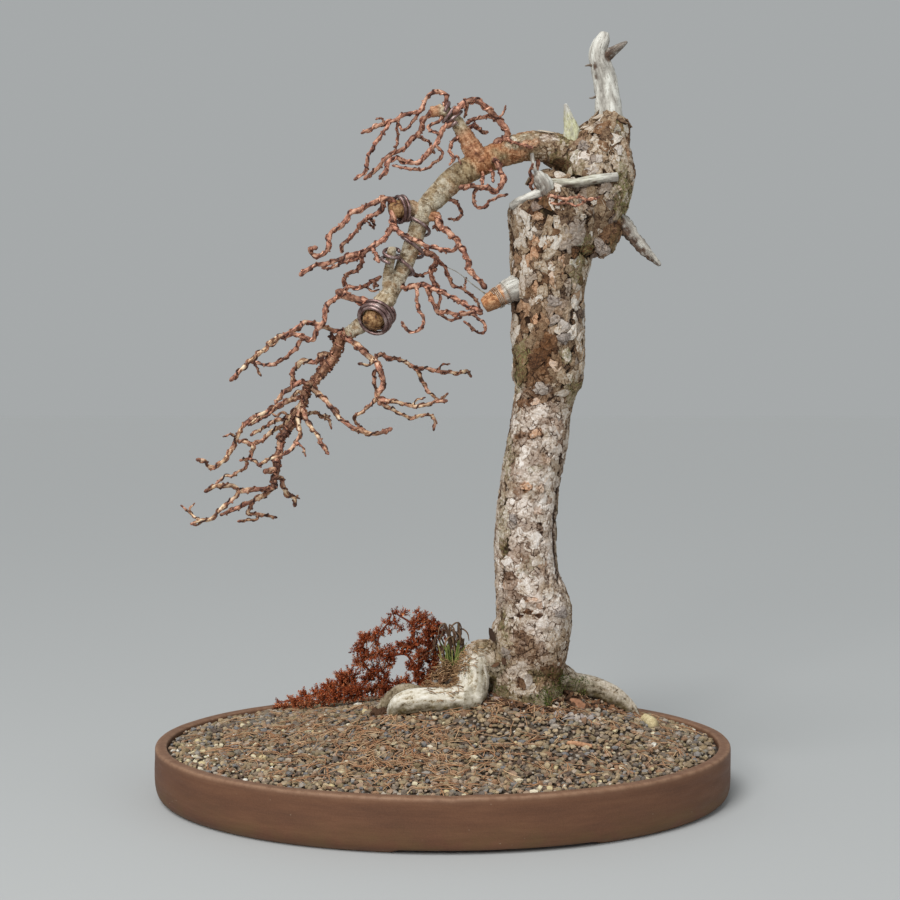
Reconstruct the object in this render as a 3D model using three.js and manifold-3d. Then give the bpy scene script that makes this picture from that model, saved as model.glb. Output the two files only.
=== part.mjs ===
// A larch bonsai without its needles, in an oval pot. Millimetres, +Z up.
// The origin is the middle of the pot on the surface it stands on, and the front faces -Y.
import * as THREE from 'three';
import Module from 'manifold-3d';
import { mergeVertices } from 'three/addons/utils/BufferGeometryUtils.js';

const wasm = await Module();
wasm.setup();

// Driving dimensions.
const gap = 0.3; // clearance between a piece and its seat
const pot = { halfLength: 285, halfWidth: 204, height: 50, wall: 12, floor: 10, foot: 3.5, sides: 36 };
const footNotch = { from: -41, to: 134, depth: 36 }; // opening in the foot ring, front and back
const drain = { radius: 11, spread: 125, mesh: 44, meshThick: 1.2, bar: 3, cells: 3 };
const mound = { rim: 46, rise: 45, x: 50, y: 36, lengthX: 165, lengthY: 115 };
const twigGirth = 1.3; // wired twigs against the bare radii below
const gravel = { stones: 20, smallest: 3.5, largest: 6, seed: 11 };
const wire = { heavy: 1.7, guy: 0.5, stepsPerTurn: 8, seat: 1.06 };
const eye = { x: 7, y: -1350, z: 388 }; // viewing point that the front of the tree is composed for

// Limbs, as [x, z, radius, depth]. x and z are set out on the front elevation (the plane y = 0).
const limbs = {
  bole: [
    [83, 64, 33, 30], [83, 98, 36, 30], [83, 119, 35.5, 30], [85, 136, 38, 29], [87, 150, 39, 28],
    [90, 162, 37.5, 28], [91, 177, 37, 27], [89, 188, 35.5, 26], [84, 212, 31.5, 25],
    [82, 241, 30.5, 24], [84, 277, 29.5, 23], [88, 312, 29, 22], [95, 348, 29.5, 21],
    [99, 380, 28.5, 20], [102, 395, 29.5, 20], [104, 410, 33.5, 19], [106, 432, 33.5, 18],
    [105, 456, 35, 17], [105, 487, 34, 16], [106, 517, 37, 15], [110, 548, 41, 14],
    [112, 566, 45, 14], [113, 578, 45, 14], [121, 589, 36, 15], [130, 599, 26, 15],
    [136, 606, 14, 15],
  ],
  head: [
    [134, 538, 20, 18], [140, 558, 27, 18], [149, 580, 31.5, 16], [155, 606, 34, 14],
    [156, 626, 33, 14], [159, 642, 29.5, 14], [165, 656, 21, 14], [167, 667, 17, 14],
  ],
  shoulder: [[106, 546, 18, 8], [94, 562, 18, 4], [84, 574, 15, 2], [78, 580, 9, 2]],
  bough: [
    [147, 628, 20, 12], [123, 635, 18, 9], [102, 641, 15, 6], [87, 642, 14.5, 3], [72, 639, 14, 0],
    [60, 635, 13.5, -2], [44, 628, 13, -5], [27, 619, 13, -8], [10, 608, 12.5, -10],
    [-5, 593, 11.5, -11], [-19, 577, 10, -12], [-25, 560, 9, -13], [-32, 539, 9, -14],
    [-39, 522, 8.5, -15], [-46, 507, 8, -16], [-55, 491, 9.5, -17], [-65, 477, 10, -18],
    [-79, 465, 8.5, -19], [-91, 457, 7, -20], [-100, 451, 6, -21],
  ],
  rootLeft: [[72, 120, 24, 26], [50, 127, 20, 24], [37, 132, 16, 19], [29, 131, 12, 15]],
  rootLeftDrop: [[31, 131, 12, 13], [30, 118, 15, 9], [30, 104, 16, 4], [28, 91, 15, 0]],
  rootLeftRun: [
    [34, 90, 14, 0], [20, 89, 14, -4], [4, 88, 13, -7], [-12, 88, 12.5, -8], [-27, 87, 12.5, -8],
    [-38, 85, 12, -6], [-45, 80, 10.5, -3], [-49, 66, 8, 2],
  ],
  rootLeftBack: [
    [-16, 90, 8, 2], [-31, 97, 7, 8], [-42, 98, 6.5, 12], [-50, 93, 6, 13], [-57, 86, 5.5, 13],
    [-62, 79, 5, 12], [-66, 66, 4, 12],
  ],
  rootRight: [
    [97, 114, 24, 32], [117, 110, 15, 36], [129, 105, 11.5, 40], [142, 103, 10.5, 44],
    [154, 100, 10.5, 46], [165, 95, 10.5, 46], [176, 89, 9, 46], [185, 82, 7, 45],
    [192, 73, 5.5, 43], [195, 58, 4, 40],
  ],
  rootBack: [[85, 112, 22, 40], [85, 100, 17, 62], [79, 88, 12, 84], [73, 74, 7, 100]],
  rootFront: [[89, 94, 20, 12], [100, 77, 12, 0], [108, 65, 8, -8], [114, 53, 5, -14]],
  lump: [[176, 662, 5, 8], [181, 667, 4, 6]],
  gall: [[159, 535, 6, 0], [161, 543, 9.5, 0], [167, 555, 10.5, 4], [172, 568, 9, 8]],
  crownStem: [
    [39, 625, 11, -8], [31, 636, 10.5, -10], [25, 647, 9, -12], [19, 657, 7.5, -14],
    [13, 667, 6.5, -16], [6, 674, 6, -18], [-2, 677, 6, -19], [-12, 676, 5.5, -20],
  ],
  ballStub: [[-21, 576, 8, -12], [-34, 580, 8, -15], [-43, 579, 9.5, -20], [-51, 577, 7, -25]],
  coilStub: [[-55, 492, 9, -17], [-63, 479, 11, -24], [-68, 470, 11.5, -33], [-71, 466, 9.5, -39]],
  curlStub: [
    [-53, 495, 6, -17], [-56, 506, 5, -21], [-54, 520, 5, -26], [-52, 532, 5, -29],
    [-51, 540, 4.6, -33],
  ],
  sideStub: [[-19, 572, 6, -12], [-11, 572, 5.5, -14], [-4, 571, 4.6, -17]],
  lowStem: [
    [-91, 457, 6.5, -20], [-100, 452, 6.3, -21], [-105, 442, 6.2, -21], [-110, 429, 6, -22],
    [-120, 417, 5.6, -23], [-130, 405, 5.2, -24], [-137, 396, 5, -25], [-140, 384, 5, -26],
    [-147, 369, 4.8, -27], [-156, 358, 4.6, -28], [-162, 348, 4.3, -29], [-163, 339, 4.2, -29],
    [-167, 328, 3.8, -30], [-166, 318, 3.5, -30], [-169, 310, 3.2, -31], [-170, 300, 3, -32],
  ],
};

// Dead wood, grey and white, set out in the same way.
const deadwood = {
  apex: [
    [167, 657, 14.5, 14], [166, 676, 13.5, 13], [163, 700, 11.8, 12], [159, 719, 11, 11],
    [155, 735, 9, 10], [160, 748, 7.2, 10], [162, 755, 4.5, 10],
  ],
  apexSpur: [[162, 732, 6, 10], [170, 737, 4.5, 6], [178, 742, 3, 3], [184, 746, 1.2, 1]],
  snag: [[130, 638, 8.5, 4], [128.7, 655, 8.3, 2], [125, 671, 4.8, 0], [122.5, 684, 1.6, -2]],
  knot: [[103, 590, 5, -14], [102, 597, 8.5, -19], [101, 604, 9, -20], [100, 611, 6, -17]],
  bar: [[103, 604, 4.5, -16], [118, 605, 4.6, -17], [132, 605, 4.4, -20], [150, 608, 4.8, -22],
    [174, 611, 4.4, -17]],
  ledge: [[99, 595, 6, -19], [87, 590, 5.5, -15], [75, 585, 5, -8], [68, 581, 3.6, -5]],
  stem: [[100, 604, 2.2, -18], [93, 616, 2, -17], [90, 626, 2, -14], [89, 634, 2, -9]],
  jin: [
    [160, 566, 8, 12], [174, 568, 7.5, 9], [184, 558, 6.5, 6], [193, 547, 5.5, 5], [203, 537, 4.4, 3],
    [211, 529, 3.4, 2], [217, 523, 1.8, 1],
  ],
  jinSpur: [[180, 559, 4.5, 7], [178, 568, 4, 6], [178, 576, 2, 6]],
  stub: [[88, 500, 13, 14], [72, 499, 13, 8], [58, 492, 10.5, 4], [48, 486, 9, 2],
    [41, 482, 7, 2]],
};

// Twigs, as [name, parent, depth of the tip, radius at the foot, points on the front elevation].
const sprays = {
  crown: [
    ['a1', 'crownStem', -34, 2.2, [[3, 685], [3, 693], [-2, 696], [-8, 696], [-15, 692], [-21, 680],
      [-24, 676], [-32, 675], [-40, 673], [-48, 668], [-58, 665], [-68, 661], [-79, 656]]],
    ['a2', 'a1', -52, 1.8, [[-52, 667], [-59, 657], [-66, 647], [-72, 637], [-76, 629], [-76, 622],
      [-80, 614], [-86, 610]]],
    ['a3', 'a1', -20, 1.4, [[-44, 671], [-46, 661], [-45, 651], [-47, 640]]],
    ['a4', 'crownStem', -8, 2.4, [[-15, 673], [-20, 667], [-22, 659], [-25, 653], [-31, 650],
      [-36, 642], [-44, 637], [-52, 634], [-59, 628], [-65, 620], [-76, 611]]],
    ['a5', 'a1', -4, 1.4, [[-24, 676], [-28, 669], [-32, 664], [-38, 658], [-42, 659], [-44, 664]]],
    ['a6', 'a4', 18, 1.5, [[-25, 653], [-21, 650], [-14, 646], [-11, 641], [-9, 636]]],
    ['a7', 'crownStem', -62, 2.4, [[12, 669], [8, 664], [0, 660], [-3, 652], [-8, 643], [-14, 637],
      [-20, 629], [-29, 625], [-39, 627], [-47, 630], [-54, 627], [-57, 618], [-62, 611]]],
    ['a8', 'a7', -18, 1.5, [[-8, 643], [-1, 636], [-2, 630], [-8, 626], [-17, 619], [-32, 619],
      [-48, 622]]],
    ['a9', 'crownStem', -36, 1.6, [[-2, 669], [-10, 664], [-15, 661], [-12, 657], [-6, 655]]],
    ['b3', 'crownStem', 16, 2, [[28, 662], [33, 662], [38, 657], [43, 656]]],
    ['b5', 'crownStem', -38, 1.7, [[12, 649], [8, 644], [7, 635], [11, 629], [8, 625]]],
    ['b6', 'b5', -22, 1.2, [[11, 629], [14, 632], [17, 626]]],
  ],
  crest: [
    ['b1', 'bough', -26, 3.3, [[48, 634], [51, 639], [54, 646], [63, 650], [64, 657], [59, 664],
      [54, 670], [48, 676], [43, 681], [38, 685], [31, 688], [24, 687], [19, 684], [14, 678]]],
    ['b2', 'b1', 14, 2.2, [[57, 666], [52, 669], [46, 672], [38, 670], [31, 669], [26, 666]]],
    ['b4', 'b1', -12, 1.6, [[24, 687], [24, 680], [22, 673]]],
    ['b7', 'b1', -34, 1.7, [[62, 649], [72, 645], [80, 643], [87, 641]]],
  ],
  inner: [
    ['c1', 'bough', -60, 2.8, [[45, 632], [51, 629], [55, 623], [58, 615], [60, 609], [58, 602],
      [53, 597], [45, 600], [36, 601], [27, 602], [20, 601]]],
    ['c2', 'c1', -22, 1.5, [[37, 601], [31, 595], [31, 587], [35, 580], [41, 581], [47, 587],
      [55, 591], [62, 593]]],
  ],
  ball: [
    ['d1', 'ballStub', -50, 2.6, [[-50, 588], [-59, 589], [-66, 587], [-76, 582], [-84, 578],
      [-92, 575], [-98, 567], [-103, 561], [-111, 557], [-114, 550], [-115, 541], [-118, 535],
      [-126, 532], [-132, 535], [-133, 539], [-129, 540]]],
    ['d2', 'd1', 10, 2.2, [[-59, 589], [-62, 577], [-68, 574], [-78, 568], [-82, 564], [-86, 558],
      [-94, 549], [-100, 544], [-101, 538]]],
    ['d3', 'd2', 20, 1.3, [[-73, 570], [-69, 565], [-69, 560]]],
    ['d4', 'ballStub', -42, 2.6, [[-49, 567], [-55, 554], [-62, 547], [-70, 542], [-79, 536],
      [-88, 534], [-97, 531], [-108, 527], [-118, 524], [-127, 523], [-136, 518], [-140, 515]]],
    ['d5', 'd4', -4, 1.8, [[-77, 537], [-81, 531], [-90, 528], [-102, 525], [-111, 520],
      [-118, 520]]],
    ['d6', 'd4', -54, 1.8, [[-71, 541], [-68, 534], [-65, 528]]],
    ['d7', 'd4', 6, 2, [[-81, 536], [-82, 523], [-87, 517], [-92, 515], [-97, 513], [-99, 504]]],
    ['j3', 'ballStub', -58, 2.2, [[-50, 563], [-45, 557], [-35, 551], [-26, 547], [-17, 542],
      [-8, 540], [1, 538], [9, 537], [13, 541]]],
  ],
  coil: [
    ['e1', 'coilStub', -38, 4.6, [[-73, 479], [-78, 486], [-87, 489], [-97, 492], [-101, 494]]],
    ['e2', 'e1', -10, 2, [[-98, 493], [-99, 498], [-94, 501], [-84, 500], [-77, 503], [-71, 507],
      [-65, 510]]],
    ['e3', 'e1', -46, 2.6, [[-101, 494], [-107, 490], [-114, 485], [-118, 477], [-118, 469],
      [-124, 461], [-128, 455], [-129, 448], [-140, 451], [-149, 454], [-158, 451]]],
    ['e5', 'e3', -18, 1.9, [[-140, 451], [-143, 446], [-146, 441], [-154, 433], [-163, 427],
      [-172, 423], [-182, 424], [-190, 426]]],
  ],
  side: [
    ['j1', 'sideStub', -46, 3, [[-5, 571], [-3, 562], [6, 555], [14, 547], [17, 541], [22, 534],
      [25, 526], [26, 518], [33, 511], [40, 503]]],
  ],
  knee: [
    ['j4', 'bough', -6, 2.8, [[-17, 535], [-9, 533], [-7, 527], [-10, 520], [-12, 512], [-9, 505]]],
    ['j5', 'j4', 32, 1.7, [[-8, 531], [1, 522], [5, 513], [10, 503], [20, 499], [29, 492],
      [34, 487], [36, 481]]],
    ['j6', 'j5', 38, 1.2, [[21, 498], [22, 504], [23, 509]]],
    ['j7', 'j4', 8, 1.5, [[-10, 507], [-5, 502], [-3, 490], [-4, 481]]],
  ],
  front: [
    ['k1', 'bough', -62, 2.5, [[-38, 500], [-28, 502], [-18, 503], [-9, 499], [-1, 496], [6, 492],
      [16, 487], [26, 481], [36, 478]]],
    ['k2', 'k1', -28, 2.2, [[-17, 503], [-12, 490], [-9, 483], [-5, 476], [3, 476], [12, 474],
      [22, 474], [29, 476], [36, 475]]],
    ['k3', 'k2', -12, 1.5, [[-2, 476], [1, 471], [7, 468], [16, 470]]],
    ['k4', 'k2', -48, 1.5, [[27, 475], [36, 469], [42, 463], [42, 457], [36, 455], [28, 461],
      [23, 465]]],
    ['k5', 'k1', -46, 1.7, [[-26, 502], [-26, 490], [-25, 480], [-21, 473], [-19, 467], [-22, 460],
      [-28, 456], [-36, 458], [-40, 464]]],
  ],
  lowLeft: [
    ['e4', 'lowStem', -64, 2.4, [[-103, 456], [-111, 458], [-123, 463], [-132, 465], [-138, 466],
      [-144, 461], [-154, 455], [-164, 451], [-172, 446], [-178, 439], [-186, 433], [-194, 426],
      [-200, 420], [-210, 410]]],
    ['e6', 'e4', -48, 1.2, [[-190, 429], [-186, 420], [-183, 414]]],
  ],
  lowRight: [
    ['h1', 'lowStem', -42, 3.2, [[-98, 451], [-94, 448], [-85, 442], [-76, 433], [-67, 426],
      [-64, 419], [-60, 410], [-61, 401], [-66, 392], [-64, 386]]],
    ['h2', 'h1', 34, 2, [[-69, 428], [-63, 434], [-55, 430], [-45, 429], [-36, 425], [-27, 420],
      [-18, 420], [-6, 417], [4, 416], [16, 415], [24, 417], [27, 413]]],
    ['h3', 'h2', 6, 1.7, [[-27, 420], [-22, 410], [-17, 400], [-10, 392], [-3, 388], [3, 393]]],
    ['h4', 'h1', -64, 2, [[-64, 389], [-53, 387], [-42, 385], [-31, 382], [-18, 383], [-8, 386],
      [1, 387]]],
    ['h5', 'h1', -14, 1.7, [[-64, 386], [-51, 379], [-42, 374], [-31, 370], [-21, 373], [-11, 372],
      [-8, 367], [-9, 360]]],
    ['h6', 'h1', -26, 1.7, [[-65, 390], [-76, 380], [-84, 374], [-89, 371], [-85, 363],
      [-80, 359]]],
    ['h7', 'h1', -46, 1.6, [[-70, 428], [-74, 423], [-82, 424]]],
    ['h8', 'h1', -18, 1.8, [[-64, 420], [-68, 416], [-69, 410], [-67, 398]]],
  ],
  low: [
    ['f1', 'lowStem', -4, 2.8, [[-111, 431], [-120, 434], [-128, 426], [-141, 427], [-146, 421],
      [-150, 418], [-150, 406]]],
    ['f2', 'lowStem', -54, 2.4, [[-135, 404], [-143, 406], [-151, 401], [-160, 395], [-166, 387]]],
    ['f3', 'lowStem', -66, 2.3, [[-140, 390], [-146, 390], [-157, 386], [-168, 381], [-179, 375],
      [-193, 368], [-202, 359], [-206, 350], [-214, 334], [-221, 326], [-228, 321], [-235, 322],
      [-238, 327], [-243, 328]]],
    ['f4', 'lowStem', 12, 1.9, [[-139, 393], [-145, 396], [-153, 388], [-163, 382], [-172, 376],
      [-183, 369], [-191, 364]]],
    ['f5', 'lowStem', -18, 2.2, [[-140, 383], [-146, 380], [-153, 370], [-160, 363], [-172, 356],
      [-179, 349], [-190, 344], [-197, 346], [-204, 347]]],
    ['f6', 'f5', -42, 1.9, [[-190, 344], [-191, 336], [-194, 330], [-201, 328]]],
    ['f7', 'f6', -52, 1.5, [[-194, 330], [-187, 326], [-183, 322]]],
    ['f8', 'f6', -26, 1.5, [[-197, 329], [-197, 320], [-204, 317], [-211, 312], [-218, 312],
      [-225, 306]]],
    ['f9', 'lowStem', -60, 2, [[-141, 380], [-145, 375], [-145, 367], [-143, 354], [-147, 346],
      [-155, 336], [-165, 332], [-176, 328], [-182, 324]]],
    ['f10', 'lowStem', -70, 2.2, [[-141, 382], [-135, 365], [-126, 353], [-121, 343], [-116, 336]]],
    ['f11', 'lowStem', -58, 2.6, [[-133, 402], [-121, 391], [-115, 385], [-108, 376], [-103, 370],
      [-93, 362], [-82, 357], [-67, 354], [-55, 358]]],
    ['f12', 'lowStem', 20, 1.8, [[-143, 376], [-135, 374], [-127, 376], [-122, 372], [-116, 372],
      [-113, 365]]],
    ['f13', 'lowStem', 16, 1.9, [[-144, 374], [-152, 372], [-160, 369], [-168, 367], [-176, 362],
      [-190, 354]]],
    ['g1', 'lowStem', -36, 3.4, [[-166, 319], [-172, 318], [-176, 317]]],
    ['g2', 'lowStem', -46, 2.6, [[-170, 300], [-182, 299], [-194, 298], [-203, 297], [-209, 302],
      [-220, 302], [-227, 302], [-235, 298]]],
    ['g3', 'g2', -76, 2, [[-203, 297], [-209, 290], [-220, 281], [-226, 275], [-234, 268],
      [-242, 268], [-249, 265]]],
    ['g4', 'g3', -66, 1.3, [[-243, 268], [-247, 270], [-254, 276], [-260, 281]]],
    ['g5', 'lowStem', -10, 2.4, [[-170, 300], [-179, 293], [-190, 287], [-199, 283], [-208, 279],
      [-220, 274]]],
    ['g6', 'g5', 0, 1.9, [[-190, 287], [-193, 280], [-195, 275], [-187, 274], [-179, 273],
      [-169, 271]]],
    ['g7', 'g6', -14, 1.5, [[-185, 274], [-186, 269], [-195, 268], [-202, 267]]],
    ['g8', 'lowStem', -4, 2.2, [[-168, 311], [-161, 310], [-160, 303], [-156, 294], [-148, 289],
      [-148, 285]]],
  ],
};
const spurs = [
  ['c3', 'bough', -38, 1.6, [[40, 614], [39, 609], [39, 604]]],
  ['c4', 'bough', -24, 1.6, [[49, 616], [50, 608]]],
  ['j2', 'bough', 28, 1.7, [[3, 589], [12, 587], [16, 581], [19, 576], [15, 569], [7, 569]]],
  ['j8', 'bough', 12, 1.7, [[-36, 517], [-29, 514], [-21, 512]]],
];

const looks = {
  pot: ['#73503a', 0.8],
  plastic: ['#2c2c2a', 0.6],
  soil: ['#6f6a60', 0.95],
  bark: ['#8a7a66', 0.95],
  twig: ['#9c6b4e', 0.85],
  deadwood: ['#c8c5b6', 0.9],
  wire: ['#6d4a45', 0.45],
  steel: ['#8d8c88', 0.4],
  heather: ['#8c4123', 0.9],
  grass: ['#7f8a3c', 0.8],
  dryStem: ['#7a5a38', 0.9],
};

// Deterministic random numbers from 0 to 1.
function randomFrom(seed) {
  let state = seed;
  return () => {
    state = (state * 1664525 + 1013904223) % 4294967296;
    return state / 4294967296;
  };
}

// A point of the front elevation carried along its line of sight to its own depth.
function seen([x, z, radius = 0, depth = 0]) {
  const scale = (depth - eye.y) / -eye.y;
  const at = new THREE.Vector3(eye.x + (x - eye.x) * scale, depth, eye.z + (z - eye.z) * scale);
  return { at, radius: radius * scale };
}

// A closed three.js geometry as a solid that can be joined and cut.
function solidOf(geometry) {
  geometry.deleteAttribute('normal');
  geometry.deleteAttribute('uv');
  const merged = mergeVertices(geometry, 1e-4);
  const triVerts = new Uint32Array(merged.index.array);
  const vertProperties = new Float32Array(merged.attributes.position.array);
  return new wasm.Manifold(new wasm.Mesh({ numProp: 3, vertProperties, triVerts }));
}

function joined(solids) {
  return solids.reduce((sum, solid) => sum.add(solid));
}

function cut(solid, tools) {
  return tools.reduce((rest, tool) => rest.subtract(tool), solid);
}

// The biggest body of a solid, without the scraps that a cut leaves.
function largest(solid) {
  const bodies = solid.decompose();
  return bodies.reduce((best, body) => (body.volume() > best.volume() ? body : best));
}

function meshOf(name, solid, look) {
  const { vertProperties, triVerts } = solid.getMesh();
  const geometry = new THREE.BufferGeometry();
  geometry.setAttribute('position', new THREE.BufferAttribute(vertProperties, 3));
  geometry.setIndex(new THREE.BufferAttribute(triVerts, 1));
  const [color, roughness, metalness = 0] = look;
  const mesh = new THREE.Mesh(geometry, new THREE.MeshStandardMaterial({ color, roughness, metalness }));
  mesh.name = name;
  return mesh;
}

// Stations along a smooth curve through the given ones.
function smoothed(stations, steps) {
  const curve = new THREE.CatmullRomCurve3(stations.map((station) => station.at), false, 'centripetal');
  return Array.from({ length: steps + 1 }, (_, i) => {
    const place = (i / steps) * (stations.length - 1);
    const before = Math.min(Math.floor(place), stations.length - 2);
    const blend = place - before;
    const radius = THREE.MathUtils.lerp(stations[before].radius, stations[before + 1].radius, blend);
    return { at: curve.getPoint(i / steps), radius };
  });
}

// A rod bent through its stations, each ring square to the way on, without twist.
function rod(stations, sides, grow = 0, relief = () => 0) {
  const last = stations.length - 1;
  const geometry = new THREE.CylinderGeometry(1, 1, 1, sides, last);
  const frames = [];
  const side = new THREE.Vector3(0.31, -0.94, 0.12);
  for (let i = 0; i <= last; i += 1) {
    const ahead = stations[Math.min(i + 1, last)].at;
    const behind = stations[Math.max(i - 1, 0)].at;
    const along = ahead.clone().sub(behind).normalize();
    side.addScaledVector(along, -side.dot(along)).normalize();
    frames.push({ side: side.clone(), up: side.clone().cross(along) });
  }
  const place = geometry.attributes.position;
  const point = new THREE.Vector3();
  for (let v = 0; v < place.count; v += 1) {
    const i = Math.round((place.getY(v) + 0.5) * last);
    const angle = Math.atan2(place.getZ(v), place.getX(v));
    const radius = stations[i].radius * (1 + relief(angle, i)) + grow;
    point.copy(stations[i].at);
    point.addScaledVector(frames[i].side, place.getX(v) * radius);
    point.addScaledVector(frames[i].up, place.getZ(v) * radius);
    place.setXYZ(v, point.x, point.y, point.z);
  }
  return solidOf(geometry);
}

// Ridges and hollows of old bark, as a fraction of the radius.
function barkRelief(angle, ring) {
  const fissures = 0.045 * Math.sin(5 * angle + 0.21 * ring) + 0.03 * Math.sin(9 * angle - 0.5 * ring);
  const plates = 0.035 * Math.sin(1.9 * ring + 2 * angle) * Math.sin(3 * angle + 1.1 * ring);
  return fissures + plates;
}

const limbBuild = {
  bole: { sides: 16, steps: 26, relief: barkRelief },
  head: { sides: 12, steps: 8, relief: barkRelief },
  shoulder: { sides: 9, steps: 4 },
  bough: { sides: 8, steps: 21, relief: barkRelief },
  rootLeft: { sides: 9, steps: 3 },
  rootLeftDrop: { sides: 9, steps: 4, relief: barkRelief },
  rootLeftRun: { sides: 7, steps: 7, relief: barkRelief },
  rootRight: { sides: 7, steps: 8, relief: barkRelief },
};

function limb(name, grow = 0) {
  const stations = limbs[name].map(seen);
  const { sides = 6, steps = stations.length - 1, relief } = limbBuild[name] ?? {};
  return rod(smoothed(stations, steps), sides, grow, relief);
}

// Nearest place on a parent's route to a point of the front elevation: [x, z, radius, depth].
function nearestOn(route, [x, z]) {
  let best = null;
  for (let i = 0; i < route.length - 1; i += 1) {
    const [x0, z0, r0, y0] = route[i];
    const [x1, z1, r1, y1] = route[i + 1];
    const length = (x1 - x0) ** 2 + (z1 - z0) ** 2;
    const share = THREE.MathUtils.clamp(((x - x0) * (x1 - x0) + (z - z0) * (z1 - z0)) / length, 0, 1);
    const spot = [x0, z0, r0, y0].map((value, k) => value + share * ([x1, z1, r1, y1][k] - value));
    const away = Math.hypot(spot[0] - x, spot[1] - z);
    if (!best || away < best.away) best = { away, spot };
  }
  return best.spot;
}

const routes = { ...limbs };

// A knobbly twig from the middle of its parent to its own tip; its route is kept for its own twigs.
function twig([name, parent, tipDepth, radius, points], grow = 0) {
  const foot = nearestOn(routes[parent], points[0]);
  const wave = name.charCodeAt(0) + name.charCodeAt(1);
  const route = points.map(([x, z], i) => {
    const share = (i + 1) / points.length;
    const knob = 1 + 0.16 * Math.sin(2.4 * i + wave);
    const depth = foot[3] + (tipDepth - foot[3]) * share + 2 * share * Math.sin(1.7 * i + wave);
    return [x, z, twigGirth * radius * (1 - 0.45 * share) * knob, depth];
  });
  const footRadius = Math.min(radius * 1.6, foot[2]);
  if (Math.hypot(foot[0] - points[0][0], foot[1] - points[0][1]) < 1.5) route.shift();
  route.unshift([foot[0], foot[1], footRadius, foot[3]]);
  routes[name] = route;
  return rod(route.map(seen), radius > 3 ? 4 : 3, grow);
}

function spray(twigs, grow = 0) {
  return joined(twigs.map((each) => twig(each, grow)));
}

const middle = new THREE.Vector2();

// A wire along a line.
function wireAlong(points, radius, steps) {
  const corners = [0, 1, 2, 3, 4].map((i) => (
    new THREE.Vector2(0, radius).rotateAround(middle, 0.4 * Math.PI * i)
  ));
  const section = new THREE.Shape(corners);
  const extrudePath = new THREE.CatmullRomCurve3(points);
  const options = { steps, extrudePath, bevelEnabled: false };
  return solidOf(new THREE.ExtrudeGeometry(section, options));
}

// A wire wound round a limb between two fractions of its length.
function wound(name, { from, to, turns, start, radius = wire.heavy, grow = 0, lift = 0 }) {
  const pieces = 60;
  const fine = smoothed(limbs[name].map(seen), pieces);
  const count = Math.round(turns * wire.stepsPerTurn);
  const side = new THREE.Vector3(0.31, -0.94, 0.12);
  const points = [];
  for (let i = 0; i <= count; i += 1) {
    const place = (from + (to - from) * (i / count)) * (pieces - 1);
    const k = Math.floor(place);
    const at = fine[k].at.clone().lerp(fine[k + 1].at, place - k);
    const along = fine[k + 1].at.clone().sub(fine[k].at).normalize();
    side.addScaledVector(along, -side.dot(along)).normalize();
    const up = side.clone().cross(along);
    const angle = start + 2 * Math.PI * turns * (i / count);
    const reach = fine[k].radius * wire.seat + radius + 1.5 * gap + lift;
    at.addScaledVector(side, Math.cos(angle) * reach);
    at.addScaledVector(up, Math.sin(angle) * reach);
    points.push(at);
  }
  return wireAlong(points, radius + grow, count);
}

// Height of the ground, highest round the foot of the tree.
function groundHeight(x, y) {
  const swell = Math.exp(-(((x - mound.x) / mound.lengthX) ** 2) - ((y - mound.y) / mound.lengthY) ** 2);
  const out = Math.hypot(x / (pot.halfLength - pot.wall), y / (pot.halfWidth - pot.wall));
  return mound.rim + mound.rise * swell * (1 - Math.min(out, 1) ** 6);
}

// A turned profile made oval, with the same inset from the outline all round: [inset, height].
function oval(profile, segments) {
  const outline = profile.map(([inset, z]) => new THREE.Vector2(pot.halfWidth - inset, z));
  const geometry = new THREE.LatheGeometry(outline, segments);
  const place = geometry.attributes.position;
  for (let v = 0; v < place.count; v += 1) {
    const angle = (Math.floor(v / outline.length) / segments) * 2 * Math.PI;
    const radius = outline[v % outline.length].x;
    const x = (radius + pot.halfLength - pot.halfWidth) * Math.cos(angle);
    place.setXYZ(v, x, radius * Math.sin(angle), place.getY(v));
  }
  return geometry;
}

function boxOf(x0, x1, y0, y1, z0, z1) {
  const geometry = new THREE.BoxGeometry(x1 - x0, y1 - y0, z1 - z0);
  geometry.translate((x0 + x1) / 2, (y0 + y1) / 2, (z0 + z1) / 2);
  return solidOf(geometry);
}

const floorTop = pot.foot + pot.floor;
const edge = pot.halfWidth; // inset of the middle line

function potSolid() {
  const body = solidOf(oval([
    [edge, pot.foot], [32, pot.foot], [30.5, 0], [9, 0], [4.5, 3], [1.8, 8], [0.6, 14], [0, 22],
    [0, pot.height - 2], [1.6, pot.height], [pot.wall - 1.6, pot.height], [pot.wall, pot.height - 2],
    [pot.wall, floorTop + 5], [pot.wall + 4, floorTop], [edge, floorTop],
  ], pot.sides));
  const outer = pot.halfWidth + 5;
  const inner = pot.halfWidth - footNotch.depth;
  const tools = [
    boxOf(footNotch.from, footNotch.to, -outer, -inner, -1, pot.foot),
    boxOf(-footNotch.to, -footNotch.from, inner, outer, -1, pot.foot),
  ];
  for (const side of [-1, 1]) {
    const hole = new THREE.CylinderGeometry(drain.radius, drain.radius, 40, 20);
    hole.rotateX(Math.PI / 2);
    hole.translate(side * drain.spread, 0, floorTop);
    tools.push(solidOf(hole));
  }
  return cut(body, tools);
}

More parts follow.
